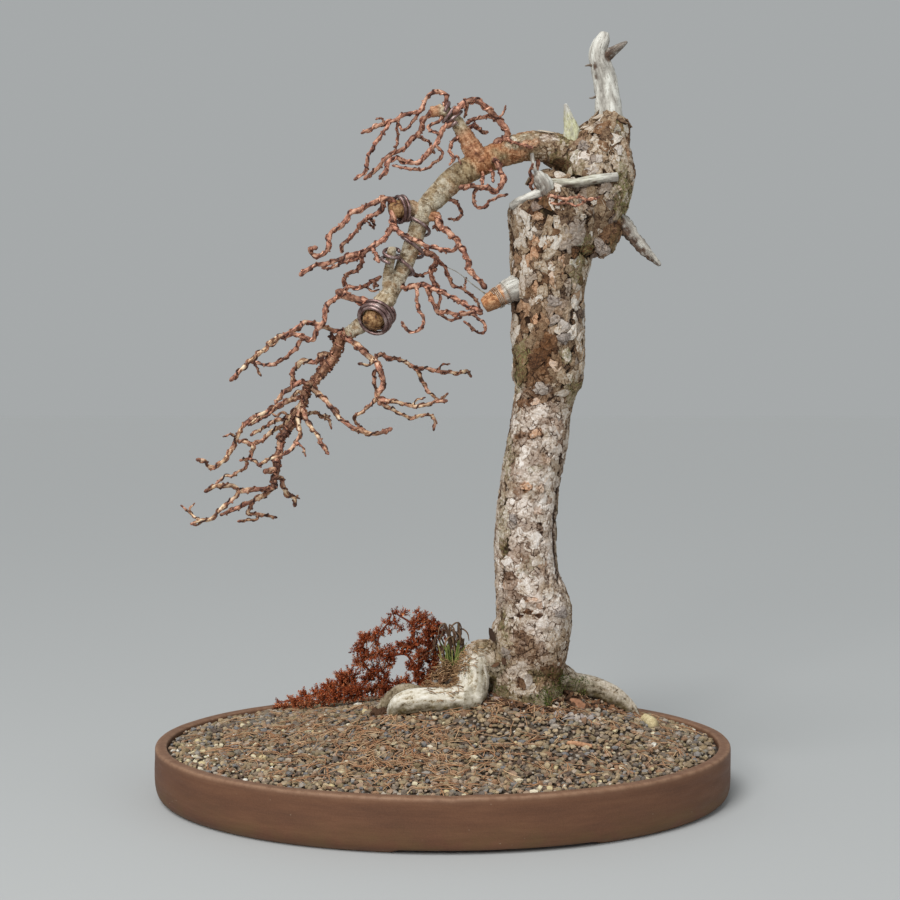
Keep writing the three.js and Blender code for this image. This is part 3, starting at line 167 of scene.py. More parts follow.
# Twigs: name, parent, depth of the tip, radius at the foot, then x and z of each point on the front elevation.
sprays = {
    "crown": [
        ("a1", "crownStem", -34, 2.2, 3, 685, 3, 693, -2, 696, -8, 696, -15, 692, -21, 680, -24, 676, -32, 675,
         -40, 673, -48, 668, -58, 665, -68, 661, -79, 656),
        ("a2", "a1", -52, 1.8, -52, 667, -59, 657, -66, 647, -72, 637, -76, 629, -76, 622, -80, 614, -86, 610),
        ("a3", "a1", -20, 1.4, -44, 671, -46, 661, -45, 651, -47, 640),
        ("a4", "crownStem", -8, 2.4, -15, 673, -20, 667, -22, 659, -25, 653, -31, 650, -36, 642, -44, 637,
         -52, 634, -59, 628, -65, 620, -76, 611),
        ("a5", "a1", -4, 1.4, -24, 676, -28, 669, -32, 664, -38, 658, -42, 659, -44, 664),
        ("a6", "a4", 18, 1.5, -25, 653, -21, 650, -14, 646, -11, 641, -9, 636),
        ("a7", "crownStem", -62, 2.4, 12, 669, 8, 664, 0, 660, -3, 652, -8, 643, -14, 637, -20, 629, -29, 625,
         -39, 627, -47, 630, -54, 627, -57, 618, -62, 611),
        ("a8", "a7", -18, 1.5, -8, 643, -1, 636, -2, 630, -8, 626, -17, 619, -32, 619, -48, 622),
        ("a9", "crownStem", -36, 1.6, -2, 669, -10, 664, -15, 661, -12, 657, -6, 655),
        ("b3", "crownStem", 16, 2, 28, 662, 33, 662, 38, 657, 43, 656),
        ("b5", "crownStem", -38, 1.7, 12, 649, 8, 644, 7, 635, 11, 629, 8, 625),
        ("b6", "b5", -22, 1.2, 11, 629, 14, 632, 17, 626),
        ("x1", "bough", -30, 1.6, 93, 598, 94, 594, 88, 601, 90, 608, 87, 617, 89, 622),
        ("x2", "a1", -44, 1, -58, 665, -62, 670, -66, 669),
        ("z1", "knot", -56, 1.5, 98, 591, 104, 591, 110, 592, 122, 589, 134, 591, 146, 588, 154, 590),
        ("z2", "knot", -52, 1.1, 96, 590, 104, 587, 112, 584, 124, 585, 134, 582, 141, 586),
    ],
    "crest": [
        ("b1", "bough", -26, 3.3, 48, 634, 51, 639, 54, 646, 63, 650, 64, 657, 59, 664, 54, 670, 48, 676, 43, 681,
         38, 685, 31, 688, 24, 687, 19, 684, 14, 678),
        ("b2", "b1", 14, 2.2, 57, 666, 52, 669, 46, 672, 38, 670, 31, 669, 26, 666),
        ("b4", "b1", -12, 1.6, 24, 687, 24, 680, 22, 673),
        ("b7", "b1", -34, 1.7, 62, 649, 72, 645, 80, 643, 87, 641),
        ("x5", "b1", -20, 1.1, 54, 670, 60, 674, 62, 680),
    ],
    "inner": [
        ("c1", "bough", -60, 2.8, 45, 632, 51, 629, 55, 623, 58, 615, 60, 609, 58, 602, 53, 597, 45, 600, 36, 601,
         27, 602, 20, 601),
        ("c2", "c1", -22, 1.5, 37, 601, 31, 595, 31, 587, 35, 580, 41, 581, 47, 587, 55, 591, 62, 593),
    ],
    "ball": [
        ("d1", "ballStub", -50, 2.6, -50, 588, -59, 589, -66, 587, -76, 582, -84, 578, -92, 575, -98, 567,
         -103, 561, -111, 557, -114, 550, -115, 541, -118, 535, -126, 532, -132, 535, -133, 539, -129, 540),
        ("d2", "d1", 10, 2.2, -59, 589, -62, 577, -68, 574, -78, 568, -82, 564, -86, 558, -94, 549, -100, 544,
         -101, 538),
        ("d3", "d2", 20, 1.3, -73, 570, -69, 565, -69, 560),
        ("d4", "ballStub", -42, 2.6, -49, 567, -55, 554, -62, 547, -70, 542, -79, 536, -88, 534, -97, 531,
         -108, 527, -118, 524, -127, 523, -136, 518, -140, 515),
        ("d5", "d4", -4, 1.8, -77, 537, -81, 531, -90, 528, -102, 525, -111, 520, -118, 520),
        ("d6", "d4", -54, 1.8, -71, 541, -68, 534, -65, 528),
        ("d7", "d4", 6, 2, -81, 536, -82, 523, -87, 517, -92, 515, -97, 513, -99, 504),
        ("j3", "ballStub", -58, 2.2, -50, 563, -45, 557, -35, 551, -26, 547, -17, 542, -8, 540, 1, 538, 9, 537,
         13, 541),
        ("x3", "d2", 12, 1.1, -82, 564, -78, 568, -71, 562),
        ("x4", "d7", 4, 1.1, -97, 513, -98, 507, -96, 501),
    ],
    "coil": [
        ("e1", "coilStub", -38, 4.6, -73, 479, -78, 486, -87, 489, -97, 492, -101, 494),
        ("e2", "e1", -10, 2, -98, 493, -99, 498, -94, 501, -84, 500, -77, 503, -71, 507, -65, 510),
        ("e3", "e1", -46, 2.6, -101, 494, -107, 490, -114, 485, -118, 477, -118, 469, -124, 461, -128, 455,
         -129, 448, -140, 451, -149, 454, -158, 451),
        ("e5", "e3", -18, 1.9, -140, 451, -143, 446, -146, 441, -154, 433, -163, 427, -172, 423, -182, 424,
         -190, 426),
        ("x6", "e2", -14, 1, -77, 503, -72, 497, -66, 498),
    ],
    "side": [
        ("j1", "sideStub", -46, 3, -5, 571, -3, 562, 6, 555, 14, 547, 17, 541, 22, 534, 25, 526, 26, 518, 33, 511,
         40, 503),
    ],
    "knee": [
        ("j4", "bough", -6, 2.8, -17, 535, -9, 533, -7, 527, -10, 520, -12, 512, -9, 505),
        ("j5", "j4", 32, 1.7, -8, 531, 1, 522, 5, 513, 10, 503, 20, 499, 29, 492, 34, 487, 36, 481),
        ("j6", "j5", 38, 1.2, 21, 498, 22, 504, 23, 509),
        ("j7", "j4", 8, 1.5, -10, 507, -5, 502, -3, 490, -4, 481),
        ("x7", "j4", -2, 1.1, -10, 520, -16, 515, -24, 513, -30, 515),
    ],
    "front": [
        ("k1", "bough", -62, 2.5, -38, 500, -28, 502, -18, 503, -9, 499, -1, 496, 6, 492, 16, 487, 26, 481,
         36, 478),
        ("k2", "k1", -28, 2.2, -17, 503, -12, 490, -9, 483, -5, 476, 3, 476, 12, 474, 22, 474, 29, 476, 36, 475),
        ("k3", "k2", -12, 1.5, -2, 476, 1, 471, 7, 468, 16, 470),
        ("k4", "k2", -48, 1.5, 27, 475, 36, 469, 42, 463, 42, 457, 36, 455, 28, 461, 23, 465),
        ("k5", "k1", -46, 1.7, -26, 502, -26, 490, -25, 480, -21, 473, -19, 467, -22, 460, -28, 456, -36, 458,
         -40, 464),
    ],
    "lowLeft": [
        ("e4", "lowStem", -64, 2.4, -103, 456, -111, 458, -123, 463, -132, 465, -138, 466, -144, 461, -154, 455,
         -164, 451, -172, 446, -178, 439, -186, 433, -194, 426, -200, 420, -210, 410),
        ("e6", "e4", -48, 1.2, -190, 429, -186, 420, -183, 414),
        ("y7", "e4", -52, 1.1, -164, 451, -168, 444, -176, 441),
    ],
    "lowRight": [
        ("h1", "lowStem", -42, 3.2, -98, 451, -94, 448, -85, 442, -76, 433, -67, 426, -64, 419, -60, 410, -61, 401,
         -66, 392, -64, 386),
        ("h2", "h1", 34, 2, -69, 428, -63, 434, -55, 430, -45, 429, -36, 425, -27, 420, -18, 420, -6, 417, 4, 416,
         16, 415, 24, 417, 27, 413),
        ("h3", "h2", 6, 1.7, -27, 420, -22, 410, -17, 400, -10, 392, -3, 388, 3, 393),
        ("h4", "h1", -64, 2, -64, 389, -53, 387, -42, 385, -31, 382, -18, 383, -8, 386, 1, 387),
        ("h5", "h1", -14, 1.7, -64, 386, -51, 379, -42, 374, -31, 370, -21, 373, -11, 372, -8, 367, -9, 360),
        ("h6", "h1", -26, 1.7, -65, 390, -76, 380, -84, 374, -89, 371, -85, 363, -80, 359),
        ("h7", "h1", -46, 1.6, -70, 428, -74, 423, -82, 424),
        ("h8", "h1", -18, 1.8, -64, 420, -68, 416, -69, 410, -67, 398),
        ("y8", "h2", 10, 1, -6, 417, -1, 423, 5, 424),
        ("y9", "h4", -60, 1, -31, 382, -26, 388, -20, 390),
    ],
    "low": [
        ("f1", "lowStem", -4, 2.8, -111, 431, -120, 434, -128, 426, -141, 427, -146, 421, -150, 418, -150, 406),
        ("f2", "lowStem", -54, 2.4, -135, 404, -143, 406, -151, 401, -160, 395, -166, 387),
        ("f3", "lowStem", -66, 2.3, -140, 390, -146, 390, -157, 386, -168, 381, -179, 375, -193, 368, -202, 359,
         -206, 350, -214, 334, -221, 326, -228, 321, -235, 322, -238, 327, -243, 328),
        ("f4", "lowStem", 12, 1.9, -139, 393, -145, 396, -153, 388, -163, 382, -172, 376, -183, 369, -191, 364),
        ("f5", "lowStem", -18, 2.2, -140, 383, -146, 380, -153, 370, -160, 363, -172, 356, -179, 349, -190, 344,
         -197, 346, -204, 347),
        ("f6", "f5", -42, 1.9, -190, 344, -191, 336, -194, 330, -201, 328),
        ("f7", "f6", -52, 1.5, -194, 330, -187, 326, -183, 322),
        ("f8", "f6", -26, 1.5, -197, 329, -197, 320, -204, 317, -211, 312, -218, 312, -225, 306),
        ("f9", "lowStem", -60, 2, -141, 380, -145, 375, -145, 367, -143, 354, -147, 346, -155, 336, -165, 332,
         -176, 328, -182, 324),
        ("f10", "lowStem", -70, 2.2, -141, 382, -135, 365, -126, 353, -121, 343, -116, 336),
        ("f11", "lowStem", -58, 2.6, -133, 402, -121, 391, -115, 385, -108, 376, -103, 370, -93, 362, -82, 357,
         -67, 354, -55, 358),
        ("f12", "lowStem", 20, 1.8, -143, 376, -135, 374, -127, 376, -122, 372, -116, 372, -113, 365),
        ("f13", "lowStem", 16, 1.9, -144, 374, -152, 372, -160, 369, -168, 367, -176, 362, -190, 354),
        ("g1", "lowStem", -36, 3.4, -166, 319, -172, 318, -176, 317),
        ("g2", "lowStem", -46, 2.6, -170, 300, -182, 299, -194, 298, -203, 297, -209, 302, -220, 302, -227, 302,
         -235, 298),
        ("g3", "g2", -76, 2, -203, 297, -209, 290, -220, 281, -226, 275, -234, 268, -242, 268, -249, 265),
        ("g4", "g3", -66, 1.3, -243, 268, -247, 270, -254, 276, -260, 281),
        ("g5", "lowStem", -10, 2.4, -170, 300, -179, 293, -190, 287, -199, 283, -208, 279, -220, 274),
        ("g6", "g5", 0, 1.9, -190, 287, -193, 280, -195, 275, -187, 274, -179, 273, -169, 271),
        ("g7", "g6", -14, 1.5, -185, 274, -186, 269, -195, 268, -202, 267),
        ("g8", "lowStem", -4, 2.2, -168, 311, -161, 310, -160, 303, -156, 294, -148, 289, -148, 285),
        ("x8", "f3", -60, 1.2, -168, 381, -176, 372, -186, 370, -193, 364),
        ("x9", "f12", 18, 1.1, -127, 376, -120, 371, -114, 368, -112, 361),
        ("y1", "f5", -20, 1.2, -153, 370, -160, 376, -166, 372, -171, 375),
        ("y2", "g3", -68, 1, -240, 268, -245, 263, -250, 264),
        ("y3", "g4", -66, 0.9, -252, 274, -253, 279, -250, 283),
        ("y4", "g8", -2, 1.1, -161, 301, -156, 297, -150, 292, -145, 290),
        ("y5", "f9", -56, 1, -147, 346, -140, 340, -138, 334),
        ("y6", "f3", -64, 1, -206, 350, -212, 354, -218, 352),
    ],
}

spurs = [
    ("c3", "bough", -38, 1.6, 40, 614, 39, 609, 39, 604),
    ("c4", "bough", -24, 1.6, 49, 616, 50, 608),
    ("j2", "bough", 28, 1.7, 3, 589, 12, 587, 16, 581, 19, 576, 15, 569, 7, 569),
    ("j8", "bough", 12, 1.7, -36, 517, -29, 514, -21, 512),
]


def seen(rows):
    # rows of x, z, radius and depth on the front elevation, as x, y, z and radius in space
    rows = np.asarray(rows, float)
    scale = (rows[:, 3] - eye[1]) / -eye[1]
    return np.column_stack([eye[0] + (rows[:, 0] - eye[0]) * scale, rows[:, 3],
                            eye[2] + (rows[:, 1] - eye[2]) * scale, rows[:, 2] * scale])


def onFront(points):
    # where points in space fall on the front elevation
    scale = (points[:, 1] - eye[1]) / -eye[1]
    return eye[0] + (points[:, 0] - eye[0]) / scale, eye[2] + (points[:, 2] - eye[2]) / scale


def smooth(stations, step):
    # a smooth curve through the stations, with a row every step millimetres
    s = np.asarray(stations, float)
    ends = np.vstack([2 * s[0] - s[1], s, 2 * s[-1] - s[-2]])
    rows = []
    for i in range(len(s) - 1):
        p = ends[i:i + 4]
        gaps = np.maximum(np.linalg.norm(np.diff(p[:, :3], axis=0), axis=1), 1e-3) ** 0.5
        t = np.concatenate([[0], np.cumsum(gaps)])
        count = max(1, int(round(gaps[1] ** 2 / step)))
        u = np.linspace(t[1], t[2], count, endpoint=False)[:, None]
        a = [(t[k + 1] - u) / gaps[k] * p[k] + (u - t[k]) / gaps[k] * p[k + 1] for k in range(3)]
        b = [(t[k + 2] - u) / (t[k + 2] - t[k]) * a[k] + (u - t[k]) / (t[k + 2] - t[k]) * a[k + 1]
             for k in range(2)]
        rows.append((t[2] - u) / gaps[1] * b[0] + (u - t[1]) / gaps[1] * b[1])
    rows.append(s[-1:])
    rows = np.vstack(rows)
    rows[:, 3] = np.maximum(rows[:, 3], 0.15)
    return rows


def lengthAlong(path):
    return np.concatenate([[0], np.cumsum(np.linalg.norm(np.diff(path[:, :3], axis=0), axis=1))])


def across(path):
    # two directions across the path at every row, without twist
    along = np.gradient(path[:, :3], axis=0)
    along /= np.linalg.norm(along, axis=1)[:, None]
    side = np.array([0.31, -0.94, 0.12])
    sides = np.empty_like(along)
    for i, way in enumerate(along):
        side = side - way * side.dot(way)
        side /= np.linalg.norm(side)
        sides[i] = side
    return along, sides, np.cross(sides, along)


def unit(vector):
    return vector / np.linalg.norm(vector)


def spokes(count):
    # angles evenly round a full turn
    return np.arange(count) * 2 * math.pi / count


def fan(tip, first, count):
    # triangles from a tip to a ring of points
    j = np.arange(count)
    return np.column_stack([np.full(count, tip), first + j, first + (j + 1) % count])


def bands(rows, count, first=0):
    # quads between rings of points
    i, j = np.meshgrid(first + np.arange(rows - 1) * count, np.arange(count), indexing="ij")
    k = (j + 1) % count
    return np.stack([i + j, i + count + j, i + count + k, i + k], axis=-1).reshape(-1, 4)


def ringBody(rings, tips, count, flip=False):
    # a closed body from rings of points, with a tip beyond the first ring and one beyond the last
    points = np.vstack([*rings, tips])
    rows = len(points) // count
    quads = bands(rows, count)
    tris = np.vstack([fan(rows * count, 0, count), fan(rows * count + 1, (rows - 1) * count, count)[:, [0, 2, 1]]])
    if flip:
        quads, tris = quads[:, [0, 3, 2, 1]], tris[:, [0, 2, 1]]
    return {"verts": points, "quads": quads, "tris": tris}


def tube(path, count, relief=None, cap=0.6):
    # a closed tube round the path; relief is a fraction of the radius, from angle and length
    along, side, up = across(path)
    angle, length = spokes(count), lengthAlong(path)
    radius = np.repeat(path[:, 3:4], count, axis=1)
    if relief is not None:
        radius = radius * (1 + relief(angle[None, :], length[:, None], radius))
    way = np.cos(angle)[None, :, None] * side[:, None, :] + np.sin(angle)[None, :, None] * up[:, None, :]
    ring = (path[:, None, :3] + way * radius[..., None]).reshape(-1, 3)
    local = np.stack([radius * np.cos(angle), radius * np.sin(angle),
                      np.repeat(length[:, None], count, axis=1)], axis=-1).reshape(-1, 3)
    tips = [path[0, :3] - along[0] * path[0, 3] * cap, path[-1, :3] + along[-1] * path[-1, 3] * cap]
    return {**ringBody([ring], tips, count), "local": np.vstack([local, [[0, 0, 0], [0, 0, length[-1]]]])}


def sampled(path, s):
    # the path and the two directions across it, at the lengths s
    _, side, up = across(path)
    length = lengthAlong(path)
    return [np.column_stack([np.interp(s, length, column) for column in rows.T]) for rows in (path, side, up)]


def wireLine(spine, sides, ups, turn, reach, wire):
    # the line of a wire turned round its core, as rows of x, y, z and radius
    way = np.cos(turn)[:, None] * sides + np.sin(turn)[:, None] * ups
    return np.column_stack([spine[:, :3] + way * reach[:, None], np.full(len(turn), wire)])


def winding(path, pitch, wire, start, seat=0.75, spread=0.0, steps=12):
    # the line of a wire wound round the whole of a path
    length = lengthAlong(path)[-1]
    s = np.linspace(0, length, max(6, int(length / pitch * steps)) + 1)
    spine, sides, ups = sampled(path, s)
    turn = start + 2 * math.pi * s / pitch + spread * np.sin(s * 0.9 + start)
    return wireLine(spine, sides, ups, turn, spine[:, 3] + wire * seat, wire)


class Shape:
    # gathers closed bits into one mesh, with a value for each field at every vertex
    def __init__(self, *fields):
        self.fields = {name: [] for name in fields}
        self.verts, self.quads, self.tris, self.local, self.count = [], [], [], [], 0

    def add(self, bit, **values):
        number = len(bit["verts"])
        self.verts.append(bit["verts"])
        self.local.append(bit.get("local", bit["verts"]))
        for kind, kept in (("quads", self.quads), ("tris", self.tris)):
            if kind in bit:
                kept.append(bit[kind] + self.count)
        for name, kept in self.fields.items():
            kept.append(np.broadcast_to(np.asarray(values.get(name, 0.0), float), (number,)))
        self.count += number

    def piece(self, name, material, slot, replaced=(), flat=False):
        mesh = bpy.data.meshes.new(name)
        faces = [face for rows in self.quads + self.tris for face in rows.tolist()]
        mesh.from_pydata(np.vstack(self.verts) * 0.001, [], faces)
        mesh.validate()
        addField(mesh, "local", np.vstack(self.local))
        for field, parts in self.fields.items():
            addField(mesh, field, np.concatenate(parts))
        if flat:
            mesh.shade_flat()
        else:
            mesh.shade_smooth()
        mesh.materials.append(material)
        made = placed(name, mesh)
        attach(made, "root")
        if replaced:
            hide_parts(*replaced)
        return made


def addField(mesh, name, values):
    kind, key = ("FLOAT", "value") if values.ndim == 1 else ("FLOAT_VECTOR", "vector")
    mesh.attributes.new(name, kind, "POINT").data.foreach_set(key, values.astype(np.float32).ravel())


# ---------- noise ----------


def cloud(points, size, detail=2, shift=0.0):
    # soft noise from about -1 to 1 with features of the given size
    rows = (points / np.asarray(size, float) + shift).tolist()
    return np.array([noise.fractal(row, 0.9, 2.1, detail) for row in rows])


def plates(points, size, shift=0.0):
    # cells of the given size: how near the crack between two is, a random number each, and a tilt
    rows = points / np.asarray(size, float) + shift
    found = [noise.voronoi(row) for row in rows.tolist()]
    f1 = np.array([d[0] for d, _ in found])
    f2 = np.array([d[1] for d, _ in found])
    centre = np.array([tuple(c[0]) for _, c in found])
    number = np.sin(centre @ np.array([12.9898, 78.233, 37.719])) * 43758.5453
    number -= np.floor(number)
    lean = np.stack([np.cos(number * 40), np.sin(number * 40), np.sin(number * 91)], axis=1)
    return f2 - f1, number, ((rows - centre) * lean).sum(axis=1)


def ease(values, low, high):
    t = np.clip((values - low) / (high - low), 0, 1)
    return t * t * (3 - 2 * t)


# ---------- materials ----------


class Look:
    # one procedural material, built from its fields and positions
    def __init__(self, name, **sockets):
        self.material = bpy.data.materials.new(name)
        self.material.use_nodes = True
        self.tree = self.material.node_tree
        self.surface = self.tree.nodes["Principled BSDF"]
        for key, value in sockets.items():
            self.surface.inputs[key.replace("_", " ")].default_value = value

    def join(self, value, socket):
        # a value is a number, a colour, another node's socket or the name of a field
        if isinstance(value, str):
            value = self.field(value)
        if isinstance(value, bpy.types.NodeSocket):
            self.tree.links.new(value, socket)
        elif value is not None:
            socket.default_value = value

    def make(self, kind, inputs=(), **settings):
        node = self.tree.nodes.new(kind)
        for key, value in settings.items():
            setattr(node, key, value)
        for key, value in dict(inputs).items():
            self.join(value, node.inputs[key])
        return node

    def vector(self, operation, a, b):
        return self.make("ShaderNodeVectorMath", {0: a, 1: b}, operation=operation).outputs[0]

    def math(self, operation, a, b=0.0):
        return self.make("ShaderNodeMath", {0: a, 1: b}, operation=operation).outputs[0]

    def times(self, a, b):
        return self.math("MULTIPLY", a, b)

    def field(self, name):
        return self.make("ShaderNodeAttribute", attribute_name=name).outputs["Fac"]

    def space(self, stretch=(1, 1, 1), field=None):
        # millimetres, from the object or from a vector field, stretched
        if field:
            source, scale = self.make("ShaderNodeAttribute", attribute_name=field).outputs["Vector"], 1.0
        else:
            source, scale = self.make("ShaderNodeTexCoord").outputs["Object"], 1000.0
        return self.vector("MULTIPLY", source, tuple(scale * k for k in stretch))

    def noise(self, space, size, detail=3.0, rough=0.55):
        return self.make("ShaderNodeTexNoise", {"Vector": space, "Scale": 1 / size, "Detail": detail,
                                                "Roughness": rough}).outputs["Fac"]

    def warp(self, space, size, amount):
        # the same space, pushed about by noise
        swirl = self.make("ShaderNodeTexNoise", {"Vector": space, "Scale": 1 / size, "Detail": 2.0})
        centred = self.vector("SUBTRACT", swirl.outputs["Color"], (0.5,) * 3)
        return self.vector("ADD", space, self.vector("MULTIPLY", centred, (amount,) * 3))

    def cells(self, space, size, feature="F1"):
        return self.make("ShaderNodeTexVoronoi", {"Vector": space, "Scale": 1 / size},
                         feature=feature).outputs["Distance"]

    def ramp(self, factor, *stops):
        # each stop is its place and its colour as seen on a screen
        node = self.make("ShaderNodeValToRGB", {"Fac": factor})
        band = node.color_ramp
        while len(band.elements) < len(stops):
            band.elements.new(0.5)
        for element, (place, *color) in zip(band.elements, stops):
            element.position, element.color = place, shade(*color)
        return node.outputs["Color"]

    def level(self, factor, low, high, out=(0.0, 1.0)):
        return self.make("ShaderNodeMapRange", {"Value": factor, "From Min": low, "From Max": high,
                                                "To Min": out[0], "To Max": out[1]}).outputs["Result"]

    def broken(self, field, grain, low, high, out=(0.0, 1.0)):
        # a field broken up by a grain
        return self.times(field, self.level(grain, low, high, out))

    def mix(self, factor, a, b, blend="MIX"):
        return self.make("ShaderNodeMix", {0: factor, 6: a, 7: b}, data_type="RGBA", blend_type=blend).outputs[2]

    def bump(self, height, distance, strength=1.0, under=None):
        return self.make("ShaderNodeBump", {"Height": height, "Distance": distance * 0.001, "Strength": strength,
                                            "Normal": under}).outputs["Normal"]

    def done(self, color, roughness=None, normal=None):
        for key, value in (("Base Color", color), ("Roughness", roughness), ("Normal", normal)):
            self.join(value, self.surface.inputs[key])
        return self.material


def makeFloor():
    mesh = bpy.data.meshes.new("floor")
    half = studio["floorSize"] / 2
    corners = [(-half, -half, 0), (half, -half, 0), (half, half, 0), (-half, half, 0)]
    mesh.from_pydata(corners, [], [(0, 1, 2, 3)])
    mesh.materials.append(Look("floorPaper").done(shade(*studio["floorColor"]), 0.9))
    placed("floor", mesh)


makeFloor()
print("studio ready")

# ---------- pot ----------

potForm = {
    "halfLength": 285.0, "halfWidth": 204.0, "height": 50.0, "wall": 12.0, "floorTop": 13.5, "foot": 3.5,
    "wallFoot": 14.0, "lip": 46.0, "segments": 240, "notch": (-41.0, 134.0), "drain": (125.0, 11.0),
    "unevenness": 0.5, "dent": (9.0, 7.0, 0.9), "clay": ((86, 56, 39), (100, 66, 46), (114, 78, 55)),
    "edgeWear": (148, 116, 92), "olive": (98, 76, 46), "specks": (170, 152, 130),
}


def stonewareLook():
    dark, clay, light = potForm["clay"]
    look = Look("brownStoneware", Specular_IOR_Level=0.35)
    even, flatWay = look.space(), look.space((0.35, 0.35, 2.2))
    base = look.ramp(look.noise(flatWay, 26, 5, 0.6), (0.3, *dark), (0.52, *clay), (0.72, *light))
    base = look.mix(0.25, base, look.ramp(look.noise(even, 1.6, 4, 0.7), (0.35, *dark), (0.65, *light)))
    low = look.broken("low", look.noise(even, 34, 3), 0.42, 0.62)
    wear = look.broken("edge", look.noise(even, 7, 4), 0.3, 0.6, (0.35, 1.0))
    dots = look.times(look.level(look.cells(even, 9.0), 0.075, 0.055),
                      look.level(look.noise(even, 40, 2), 0.5, 0.62))
    for spread, share, color in ((low, 0.55, "olive"), (wear, 0.75, "edgeWear"), (dots, 0.6, "specks")):
        base = look.mix(look.times(spread, share), base, shade(*potForm[color]))
    rough = look.level(look.noise(flatWay, 14, 4), 0.3, 0.7, (0.56, 0.74))
    grain = look.bump(look.noise(even, 0.9, 4, 0.7), 0.25, 0.5)
    return look.done(base, rough, look.bump(look.noise(look.space((0.06, 0.06, 1.0)), 2.6, 3), 0.5, 0.35, grain))


def ovalRing(inset, z, angle):
    f = potForm
    radius = f["halfWidth"] - inset
    return np.stack([(radius + f["halfLength"] - f["halfWidth"]) * np.cos(angle), radius * np.sin(angle),
                     np.broadcast_to(z, angle.shape)], axis=-1)


def makePot():
    f = potForm
    profile = [  # inset from the outline, height, edge wear, low part of the wall
        (60, 3.5, 0, 0), (32, 3.5, 0, 0), (31, 0.6, 0, 0), (30, 0, 0.2, 0), (20, 0, 0.2, 0), (9.6, 0, 0.4, 0),
        (8, 0.5, 0.5, 0.4), (5.6, 2, 0.3, 0.8), (3.6, 4, 0.1, 1), (2.2, 6.6, 0, 1), (1.2, 10, 0, 1),
        (0.5, 14, 0, 0.8), (0.15, 18, 0, 0.5), (0, 23, 0, 0.3), (0, 28, 0, 0.1), (0, 33, 0, 0), (0, 38, 0, 0),
        (0, 43, 0, 0), (0, 46.4, 0.15, 0), (0.1, 48, 0.6, 0), (0.5, 49.1, 0.9, 0), (1.3, 49.8, 1, 0),
        (2.6, 50, 0.8, 0), (6, 50, 0.5, 0), (9.4, 50, 0.6, 0), (10.7, 49.7, 0.9, 0), (11.5, 49, 0.8, 0),
        (12, 47.8, 0.4, 0), (12, 44, 0, 0), (12, 30, 0, 0), (12, 18.5, 0, 0), (13.4, 15, 0, 0), (17, 13.5, 0, 0),
        (60, 13.5, 0, 0),
    ]
    count, (notchFrom, notchTo), (dentAt, dentSpread, dentDepth) = f["segments"], f["notch"], f["dent"]
    angle = spokes(count)
    rings = []
    for inset, z, _, _ in profile:
        ring = ovalRing(inset, float(z), angle)
        if f["wallFoot"] <= z <= f["height"] and inset < 9:  # hand-pressed wall, never outside the true outline
            push = (cloud(ring, (70, 70, 26), 2) - 0.6) * f["unevenness"]
            ring = ring + np.column_stack([np.cos(angle) * push, np.sin(angle) * push, np.zeros(count)])
        if z > f["lip"]:
            wave = cloud(ring * [1, 1, 0], 55, 2, 4.0) * 0.35 - 0.35
            front = np.where(ring[:, 1] < 0, np.exp(-((ring[:, 0] - dentAt) / dentSpread) ** 2), 0)
            ring[:, 2] += wave - front * dentDepth
        if z < f["foot"]:
            x = ring[:, 0] * np.where(ring[:, 1] < 0, 1, -1)
            lift = ease(x, notchFrom - 3, notchFrom + 3) * (1 - ease(x, notchTo - 3, notchTo + 3))
            ring[:, 2] += (f["foot"] - z) * lift
        rings.append(ring)
    edge, low = (np.append(np.repeat([row[k] for row in profile], count), [0, 0]) for k in (2, 3))
    shape = Shape("edge", "low")
    shape.add(ringBody(rings, [[0, 0, f["foot"]], [0, 0, f["floorTop"]]], count, True), edge=edge, low=low)
    made = shape.piece("pot_body", stonewareLook(), "stoneware", ["pot"])
    spread, radius = f["drain"]
    for side in (-1, 1):  # drain holes through the floor
        bpy.ops.mesh.primitive_cylinder_add(vertices=40, radius=radius * 0.001, depth=0.04,
                                            location=(side * spread * 0.001, 0, f["floorTop"] * 0.001))
        tool = bpy.context.object
        cut = made.modifiers.new("drain", "BOOLEAN")
        cut.operation, cut.object, cut.solver = "DIFFERENCE", tool, "EXACT"
        settled(made)
        bpy.data.objects.remove(tool)


def settled(made):
    # applies the modifiers of a piece to its mesh
    graph = bpy.context.evaluated_depsgraph_get()
    mesh = bpy.data.meshes.new_from_object(made.evaluated_get(graph), preserve_all_data_layers=True,
                                           depsgraph=graph)
    made.modifiers.clear()
    old, made.data = made.data, mesh
    bpy.data.meshes.remove(old)
    mesh.name = made.name


makePot()
print("pot made")

# ---------- soil, gravel and litter ----------

mound = {"rim": 46.0, "rise": 45.0, "x": 50.0, "y": 36.0, "lengthX": 165.0, "lengthY": 115.0, "floor": 14.0,
         "below": 2.2, "segments": 160, "rows": 34}
heaps = [  # soil caught between the roots: x, y, half length, half width, height
    (146, 50, 26, 13, 12), (122, 34, 16, 14, 10), (60, 44, 22, 16, 8), (112, 8, 14, 10, 4), (2, 40, 20, 13, 20),
]
gravelForm = {
    "pitch": 5.0, "sizes": (1.8, 5.0), "seed": 21, "wallGap": 0.7, "paleShare": 0.035,
    "colors": [(140, 122, 98), (102, 93, 86), (160, 138, 108), (120, 104, 78), (178, 158, 128), (92, 80, 72),
               (148, 114, 86), (168, 156, 140), (114, 113, 114), (134, 120, 90)],
    "pale": [(206, 196, 168), (196, 178, 136), (220, 216, 206)],
}
needleForm = {
    "count": 1450, "length": (13.0, 30.0), "radius": 0.4, "seed": 5,
    "drifts": [(-40, -90, 70, 70), (20, -22, 60, 16), (-90, -30, 80, 30), (95, -14, 50, 12), (-4, 36, 26, 12)],
    "colors": [(186, 142, 104), (152, 104, 72), (210, 176, 138), (134, 96, 70)],
}


